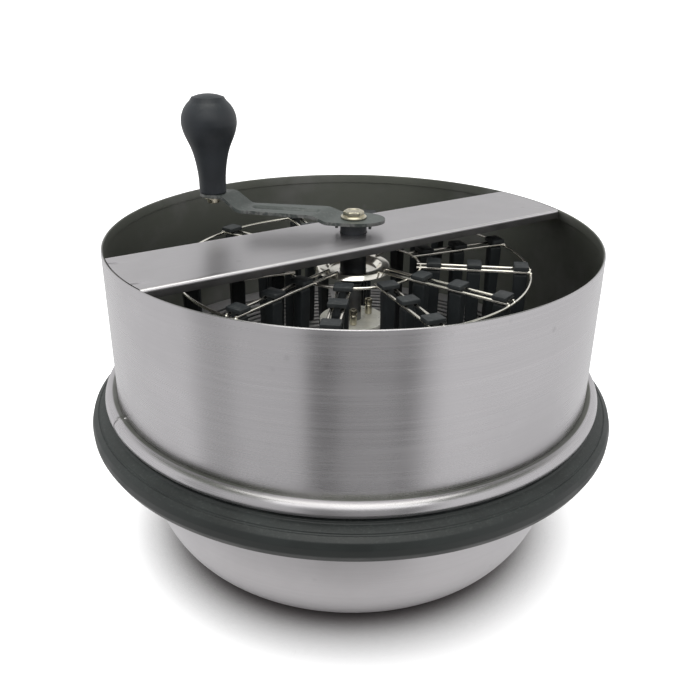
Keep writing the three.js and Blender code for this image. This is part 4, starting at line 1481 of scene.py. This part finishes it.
def hub_dish_data():
    """The dish round the sleeve: sunk floor, broad bright lip and a turned-down edge."""
    hole = 11.3 * MM
    low = low_of("tumbler_frame").z
    profile = rounded([
        (hole, low + 0.1 * MM, 0.2 * MM),
        (21.5 * MM, low + 0.1 * MM, 1.2 * MM),
        (24.6 * MM, low + 4.9 * MM, 0.8 * MM),
        (28.6 * MM, low + 4.9 * MM, 1 * MM),
        (31.6 * MM, low + 1.6 * MM, 0.2 * MM),
        (33.1 * MM, low + 2.2 * MM, 0.3 * MM),
        (30.6 * MM, low + 6.4 * MM, 1.6 * MM),
        (24 * MM, low + 6.4 * MM, 1.2 * MM),
        (20.6 * MM, low + 1.5 * MM, 1.2 * MM),
        (hole, low + 1.5 * MM, 0.2 * MM),
    ], closed=True)
    return loft_data([circle(r, z, 128) for r, z in profile], closed=True)


def box_ring(along, across, corner, height, steps=3):
    """A rounded rectangle in the XY plane."""
    points = []
    for sx, sy, start in ((1, 1, 0), (-1, 1, 90), (-1, -1, 180), (1, -1, 270)):
        centre = Vector((sx * (along - corner), sy * (across - corner)))
        for k in range(steps + 1):
            angle = math.radians(start + 90 * k / steps)
            points.append(Vector((centre.x + corner * math.cos(angle),
                                  centre.y + corner * math.sin(angle), height)))
    return points


def make_finger(name, node, radius, angle, draw):
    """One flexible finger: a clip over the wires, a neck and a long flap with a slight set of its own."""
    low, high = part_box(node)
    tip, top = low.z, high.z
    clip_bottom = top - 3.6 * MM
    neck_bottom = clip_bottom - 3.9 * MM
    sections = [
        (3.2, 1.4, 1.0, tip), (4.2, 2.3, 1.0, tip + 0.7 * MM), (4.5, 2.6, 1.0, tip + 2.5 * MM),
        (4.8, 3.1, 1.1, tip + 22 * MM), (5.1, 3.6, 1.2, tip + 46 * MM), (5.4, 4.1, 1.3, tip + 70 * MM),
        (5.6, 4.5, 1.3, neck_bottom - 3 * MM), (5.5, 4.4, 1.2, neck_bottom - 1.6 * MM),
        (5.2, 2.8, 1.0, neck_bottom), (5.2, 2.8, 1.0, clip_bottom),
        (5.6, 7.1, 0.9, clip_bottom), (6.0, 7.5, 1.1, clip_bottom + 0.4 * MM),
        (6.0, 7.5, 1.1, top - 0.9 * MM), (5.8, 7.3, 1.1, top - 0.35 * MM), (5.2, 6.7, 1.1, top),
    ]
    lean = Vector((draw.uniform(-1, 1), draw.uniform(-1, 1))) * 1.6 * MM
    twist = math.radians(draw.uniform(-7, 7))
    rings = []
    for along, across, corner, height in sections:
        ring = box_ring(along * MM, across * MM, corner * MM, height)
        share = max(0.0, (neck_bottom - height) / (neck_bottom - tip)) ** 1.6
        turn = Matrix.Rotation(twist * share, 3, "Z")
        rings.append([turn @ p + Vector((lean.x * share, lean.y * share, 0)) for p in ring])
    finger = loft(name, rings)
    place_at = Matrix.Rotation(angle, 4, "Z") @ Matrix.Translation((radius, 0, 0))
    finger.data.transform(place_at)
    return finger


# ---- Stage -----------------------------------------------------------------------------------

VIEW_TURN = math.radians(-33)
CAMERA_DISTANCE = 0.66765
CAMERA_HEIGHT = RIM + 0.2054
CAMERA_PITCH = math.radians(25.208)
CAMERA_ROLL = math.radians(0.696)
CAMERA_YAW = math.radians(0.14)
CAMERA_LENS = 42.75
SENSOR = 36.0


def make_camera():
    data = bpy.data.cameras.new("studio_camera")
    data.lens = CAMERA_LENS
    data.sensor_width = SENSOR
    data.clip_start = 0.01
    data.clip_end = 200.0
    camera = bpy.data.objects.new("studio_camera", data)
    bpy.context.scene.collection.objects.link(camera)
    at = Vector((math.sin(VIEW_TURN), -math.cos(VIEW_TURN), 0)) * CAMERA_DISTANCE
    turn = Matrix.Rotation(VIEW_TURN + CAMERA_YAW, 4, "Z")
    turn = turn @ Matrix.Rotation(math.pi / 2 - CAMERA_PITCH, 4, "X")
    turn = turn @ Matrix.Rotation(CAMERA_ROLL, 4, "Z")
    camera.matrix_world = Matrix.Translation(at + Vector((0, 0, CAMERA_HEIGHT))) @ turn
    bpy.context.scene.camera = camera


# painted shadow colour of the floor near the bowl, and the strength of the painted glow away from it
SHADOW_COLOUR = (0.13, 0.12, 0.12, 1)
PAPER_GLOW = 0.3


def make_floor():
    """Pale paper with a painted shadow that darkens it close under the bowl, and a painted glow away from
    the bowl. Reflections see only the dark part of it.
    """
    size = 60.0
    contact_reach = 0.1
    corners = [Vector((x, y, 0)) for x, y in
               ((-size, -size), (size, -size), (size, size), (-size, size))]
    mesh = bpy.data.meshes.new("studio_floor")
    mesh.from_pydata(corners, [], [(0, 1, 2, 3)])
    floor = bpy.data.objects.new("studio_floor", mesh)
    bpy.context.scene.collection.objects.link(floor)
    material, graph, shader = new_material("floor_paper")
    paper = graph.noise(graph.place_in_metres(), 3.0, 3.0)
    # painted shadow: ambient occlusion darkens the floor near the bowl, and the floor glows away from it
    closeness = graph.node("ShaderNodeAmbientOcclusion", {"Distance": contact_reach},
                           samples=24).outputs["AO"]
    open_paper = graph.spread(closeness, 0.22, 0.8)
    white = graph.mix(paper, (0.93, 0.93, 0.93, 1), (0.96, 0.96, 0.96, 1))
    join_to(graph, shader, colour=graph.mix(open_paper, SHADOW_COLOUR, white))
    glow = graph.mix(open_paper, (0, 0, 0, 1), (1, 1, 1, 1))
    graph.tree.links.new(glow, shader.inputs["Emission Color"])
    shader.inputs["Emission Strength"].default_value = PAPER_GLOW
    shader.inputs["Roughness"].default_value = 0.9
    shader.inputs["Specular IOR Level"].default_value = 0.1
    reflected = graph.node("ShaderNodeLightPath").outputs["Is Glossy Ray"]
    clear = graph.node("ShaderNodeBsdfTransparent").outputs[0]
    shown = graph.node("ShaderNodeMixShader", {
        0: graph.math("MULTIPLY", reflected, open_paper), 1: shader.outputs[0], 2: clear})
    output = material.node_tree.nodes["Material Output"]
    graph.tree.links.new(shown.outputs[0], output.inputs["Surface"])
    mesh.materials.append(material)
    floor.visible_diffuse = False


def make_light(name, at, aim, size, power, glossy=True):
    data = bpy.data.lights.new(name, "AREA")
    data.shape = "RECTANGLE"
    data.size, data.size_y = size
    data.energy = power
    light = bpy.data.objects.new(name, data)
    bpy.context.scene.collection.objects.link(light)
    light.location = at
    light.rotation_euler = (Vector(aim) - Vector(at)).to_track_quat("-Z", "Y").to_euler()
    light.visible_glossy = glossy
    light.visible_camera = False


# Degrees round from the middle of the camera's side, and how bright the room is there.
ROOM_TONES = (
    (-180, 0.62), (-150, 0.8), (-76, 0.84), (-70, 0.52), (-57, 0.5), (-52, 0.64), (-22, 0.6), (-17, 0.2),
    (-8, 0.18), (-3, 0.33), (18, 0.36), (22, 0.26), (27, 0.28), (34, 0.6), (42, 0.84), (150, 0.8),
    (180, 0.62),
)
ROOF_TONE = (0.16, 0.175, 0.14, 1)
ROOF_LAMP = (2.2, 2.2, 2.1, 1)
GROUND_TONE = (0.78, 0.77, 0.76, 1)


def make_world():
    """A white room for the camera. Reflections see its panels: light at both sides, dim behind the
    camera and overhead."""
    world = bpy.data.worlds.new("studio_room")
    bpy.context.scene.world = world
    world.use_nodes = True
    tree = world.node_tree
    tree.nodes.clear()
    graph = Graph(tree)
    direction = graph.node("ShaderNodeTexCoord").outputs["Generated"]
    facing = (math.sin(VIEW_TURN), -math.cos(VIEW_TURN), 0)
    aside = (math.cos(VIEW_TURN), math.sin(VIEW_TURN), 0)
    toward = graph.node("ShaderNodeVectorMath", {0: direction, 1: facing}, operation="DOT_PRODUCT")
    right = graph.node("ShaderNodeVectorMath", {0: direction, 1: aside}, operation="DOT_PRODUCT")
    turn = graph.math("ARCTAN2", right.outputs["Value"], toward.outputs["Value"])
    share = graph.spread_evenly(turn, -math.pi, math.pi)
    panels = graph.node("ShaderNodeValToRGB", {0: share})
    ramp = panels.color_ramp
    for degrees, tone in ROOM_TONES[1:-1]:
        ramp.elements.new((degrees + 180) / 360).color = (tone, tone, tone, 1)
    for element, (degrees, tone) in zip((ramp.elements[0], ramp.elements[-1]),
                                        (ROOM_TONES[0], ROOM_TONES[-1])):
        element.color = (tone, tone, tone, 1)
    up = graph.node("ShaderNodeSeparateXYZ", {0: direction}).outputs["Z"]
    raised = graph.spread(up, 0.5, 0.8)
    above = graph.mix(graph.spread(up, 0.86, 0.95), ROOF_TONE, ROOF_LAMP)
    below = graph.spread(up, -0.62, -0.86)
    level = graph.mix(raised, panels.outputs[0], above)
    tone = graph.mix(below, level, GROUND_TONE)
    soft = graph.spread(up, 0.3, 0.8, 0.1, 1.95)
    path = graph.node("ShaderNodeLightPath").outputs
    seen = graph.node("ShaderNodeBackground", {"Color": (1, 1, 1, 1), "Strength": 1.0})
    reflected = graph.node("ShaderNodeBackground", {"Color": tone, "Strength": 1.0})
    ambient = graph.node("ShaderNodeBackground", {"Color": (1, 1, 1, 1), "Strength": soft})
    glossy = graph.node("ShaderNodeMixShader", {0: path["Is Glossy Ray"], 1: ambient.outputs[0],
                                                2: reflected.outputs[0]})
    shown = graph.node("ShaderNodeMixShader", {0: path["Is Camera Ray"], 1: glossy.outputs[0],
                                               2: seen.outputs[0]})
    out = graph.node("ShaderNodeOutputWorld")
    tree.links.new(shown.outputs[0], out.inputs["Surface"])


# ---- Operators -------------------------------------------------------------------------------


class TRIMMER_OT_bowl(bpy.types.Operator):
    """Build the collecting bowl"""

    bl_idname = "trimmer.bowl"
    bl_label = "Bowl"

    def execute(self, context):
        bowl = make_bowl(context.scene.trimmer_sizes)
        place(bowl, "bowl", material("bowl_sheet"), "brushed_steel", "bowl")
        return {"FINISHED"}


class TRIMMER_OT_seal(bpy.types.Operator):
    """Build the rubber ring on the bowl's rim"""

    bl_idname = "trimmer.seal"
    bl_label = "Rim seal"

    def execute(self, context):
        place(make_seal(), "bowl", material("seal_rubber"), "black_rubber", "rim_seal_ring")
        return {"FINISHED"}


class TRIMMER_OT_drum(bpy.types.Operator):
    """Build the drum's sheet wall with its hem and foot bead"""

    bl_idname = "trimmer.drum"
    bl_label = "Drum"

    def execute(self, context):
        drum = make_drum(context.scene.trimmer_sizes)
        place(drum, "drum", material("drum_sheet"), "brushed_steel", "drum_wall")
        return {"FINISHED"}


class TRIMMER_OT_cross_bar(bpy.types.Operator):
    """Build the channel bar across the drum"""

    bl_idname = "trimmer.cross_bar"
    bl_label = "Cross bar"

    def execute(self, context):
        bar = make_bar(context.scene.trimmer_sizes)
        place(bar, "drum", material("bar_sheet"), "brushed_steel", "cross_bar")
        return {"FINISHED"}


class TRIMMER_OT_grate(bpy.types.Operator):
    """Build the finely slotted grate"""

    bl_idname = "trimmer.grate"
    bl_label = "Grate"

    def execute(self, context):
        grate = make_grate(context.scene.trimmer_sizes)
        place(grate, "drum", material("grate_sheet"), "brushed_steel", "grate")
        return {"FINISHED"}


class TRIMMER_OT_gearbox(bpy.types.Operator):
    """Build the gearbox casting, its cover and the three tall screws"""

    bl_idname = "trimmer.gearbox"
    bl_label = "Gearbox"

    def execute(self, context):
        place(make_housing(), "drum", material("casting"), "cast_alloy", "gearbox_housing")
        place(make_cover(), "drum", material("casting"), "cast_alloy", "gearbox_cover")
        for number in (1, 2, 3):
            screw = make_screw(number)
            place(screw, "drum", material("zinc"), "zinc_plate", f"cover_screw_{number}")
        return {"FINISHED"}


class TRIMMER_OT_gears(bpy.types.Operator):
    """Build the planet gears and their carrier"""

    bl_idname = "trimmer.gears"
    bl_label = "Gears"

    def execute(self, context):
        place(make_carrier(), "rotor", material("gear"), "gear_steel", "planet_carrier")
        for number in (1, 2, 3):
            planet = make_planet(number)
            place(planet, f"planet_{number}", material("gear"), "gear_steel", f"planet_gear_{number}")
        return {"FINISHED"}


class TRIMMER_OT_blades(bpy.types.Operator):
    """Build the spindle, the two blades and their nut"""

    bl_idname = "trimmer.blades"
    bl_label = "Blades"

    def execute(self, context):
        place(make_spindle(), "blades", material("gear"), "gear_steel", "blade_spindle")
        place(make_straight_blade(), "blades", material("blade"), "blade_steel", "straight_blade")
        place(make_serrated_blade(), "blades", material("blade"), "blade_steel", "serrated_blade")
        place(make_nut(), "blades", material("zinc"), "zinc_plate", "blade_nut")
        return {"FINISHED"}


class TRIMMER_OT_crank(bpy.types.Operator):
    """Build the crank arm, its two bolts and the drive sleeve"""

    bl_idname = "trimmer.crank"
    bl_label = "Crank"

    def execute(self, context):
        sizes = context.scene.trimmer_sizes
        place(make_arm(sizes), "rotor", material("crank_paint"), "black_paint", "crank_arm")
        place(make_crank_bolt(), "rotor", material("zinc"), "zinc_plate", "crank_bolt")
        place(make_grip_bolt(), "rotor", material("zinc"), "zinc_plate", "grip_bolt")
        place(make_sleeve(sizes), "rotor", material("grip_plastic"), "black_plastic", "drive_sleeve")
        return {"FINISHED"}


class TRIMMER_OT_grip(bpy.types.Operator):
    """Build the turning grip"""

    bl_idname = "trimmer.grip"
    bl_label = "Grip"

    def execute(self, context):
        place(make_grip(), "grip", material("grip_plastic"), "black_plastic", "grip")
        return {"FINISHED"}


class TRIMMER_OT_tumbler(bpy.types.Operator):
    """Build the wire frame and the polished hub dish"""

    bl_idname = "trimmer.tumbler"
    bl_label = "Tumbler frame"

    def execute(self, context):
        tumbler = make_tumbler(context.scene.trimmer_sizes)
        place(tumbler, "rotor", material("wire"), "bright_steel", "tumbler_frame")
        return {"FINISHED"}


class TRIMMER_OT_fingers(bpy.types.Operator):
    """Build the flexible fingers on every pair of wires"""

    bl_idname = "trimmer.fingers"
    bl_label = "Fingers"

    def execute(self, context):
        draw = random.Random(SEED)
        for spoke in range(SPOKES):
            for row in (1, 2, 3):
                label = f"{spoke + 1:02d}_{row}"
                node = f"finger_{label}"
                at = centre_of(node)
                finger = make_finger(f"flexible_finger_{label}", node, math.hypot(at.x, at.y),
                                     spoke_angle(spoke), draw)
                place(finger, "rotor", material("finger_rubber"), "finger_rubber", node)
        return {"FINISHED"}


class TRIMMER_OT_stage(bpy.types.Operator):
    """Build the floor, the soft lights and the camera"""

    bl_idname = "trimmer.stage"
    bl_label = "Stage"

    def execute(self, context):
        make_camera()
        make_floor()
        make_world()
        make_light("overhead", (-0.5, 0.2, 1.5), (0, 0, 0), (1.0, 1.0), 7, glossy=False)
        make_light("front_softbox", (-0.545, -0.84, 1.1), (0, 0, 0.15), (1.4, 0.6), 4.5, glossy=True)
        context.scene.view_settings.view_transform = "Standard"
        return {"FINISHED"}


class TRIMMER_PT_pieces(bpy.types.Panel):
    """Lists the trimmer's pieces"""

    bl_idname = "TRIMMER_PT_pieces"
    bl_label = "Bowl trimmer"
    bl_space_type = "VIEW_3D"
    bl_region_type = "UI"
    bl_category = "Trimmer"

    def draw(self, context):
        for group in (context.scene.trimmer_sizes, context.scene.trimmer_colours):
            column = self.layout.column()
            for name in group.__annotations__:
                column.prop(group, name)
        for operator in OPERATORS:
            self.layout.operator(operator.bl_idname)


OPERATORS = (
    TRIMMER_OT_bowl, TRIMMER_OT_seal, TRIMMER_OT_drum, TRIMMER_OT_cross_bar, TRIMMER_OT_grate,
    TRIMMER_OT_gearbox, TRIMMER_OT_gears, TRIMMER_OT_blades, TRIMMER_OT_crank, TRIMMER_OT_grip,
    TRIMMER_OT_tumbler, TRIMMER_OT_fingers, TRIMMER_OT_stage,
)
CLASSES = (TrimmerSizes, TrimmerColours) + OPERATORS + (TRIMMER_PT_pieces,)


def register():
    for made in CLASSES:
        bpy.utils.register_class(made)
    bpy.types.Scene.trimmer_sizes = PointerProperty(type=TrimmerSizes)
    bpy.types.Scene.trimmer_colours = PointerProperty(type=TrimmerColours)


def unregister():
    del bpy.types.Scene.trimmer_colours
    del bpy.types.Scene.trimmer_sizes
    for made in reversed(CLASSES):
        bpy.utils.unregister_class(made)


def main():
    register()
    for operator in OPERATORS:
        group, name = operator.bl_idname.split(".")
        getattr(getattr(bpy.ops, group), name)()


if __name__ == "__main__":
    main()
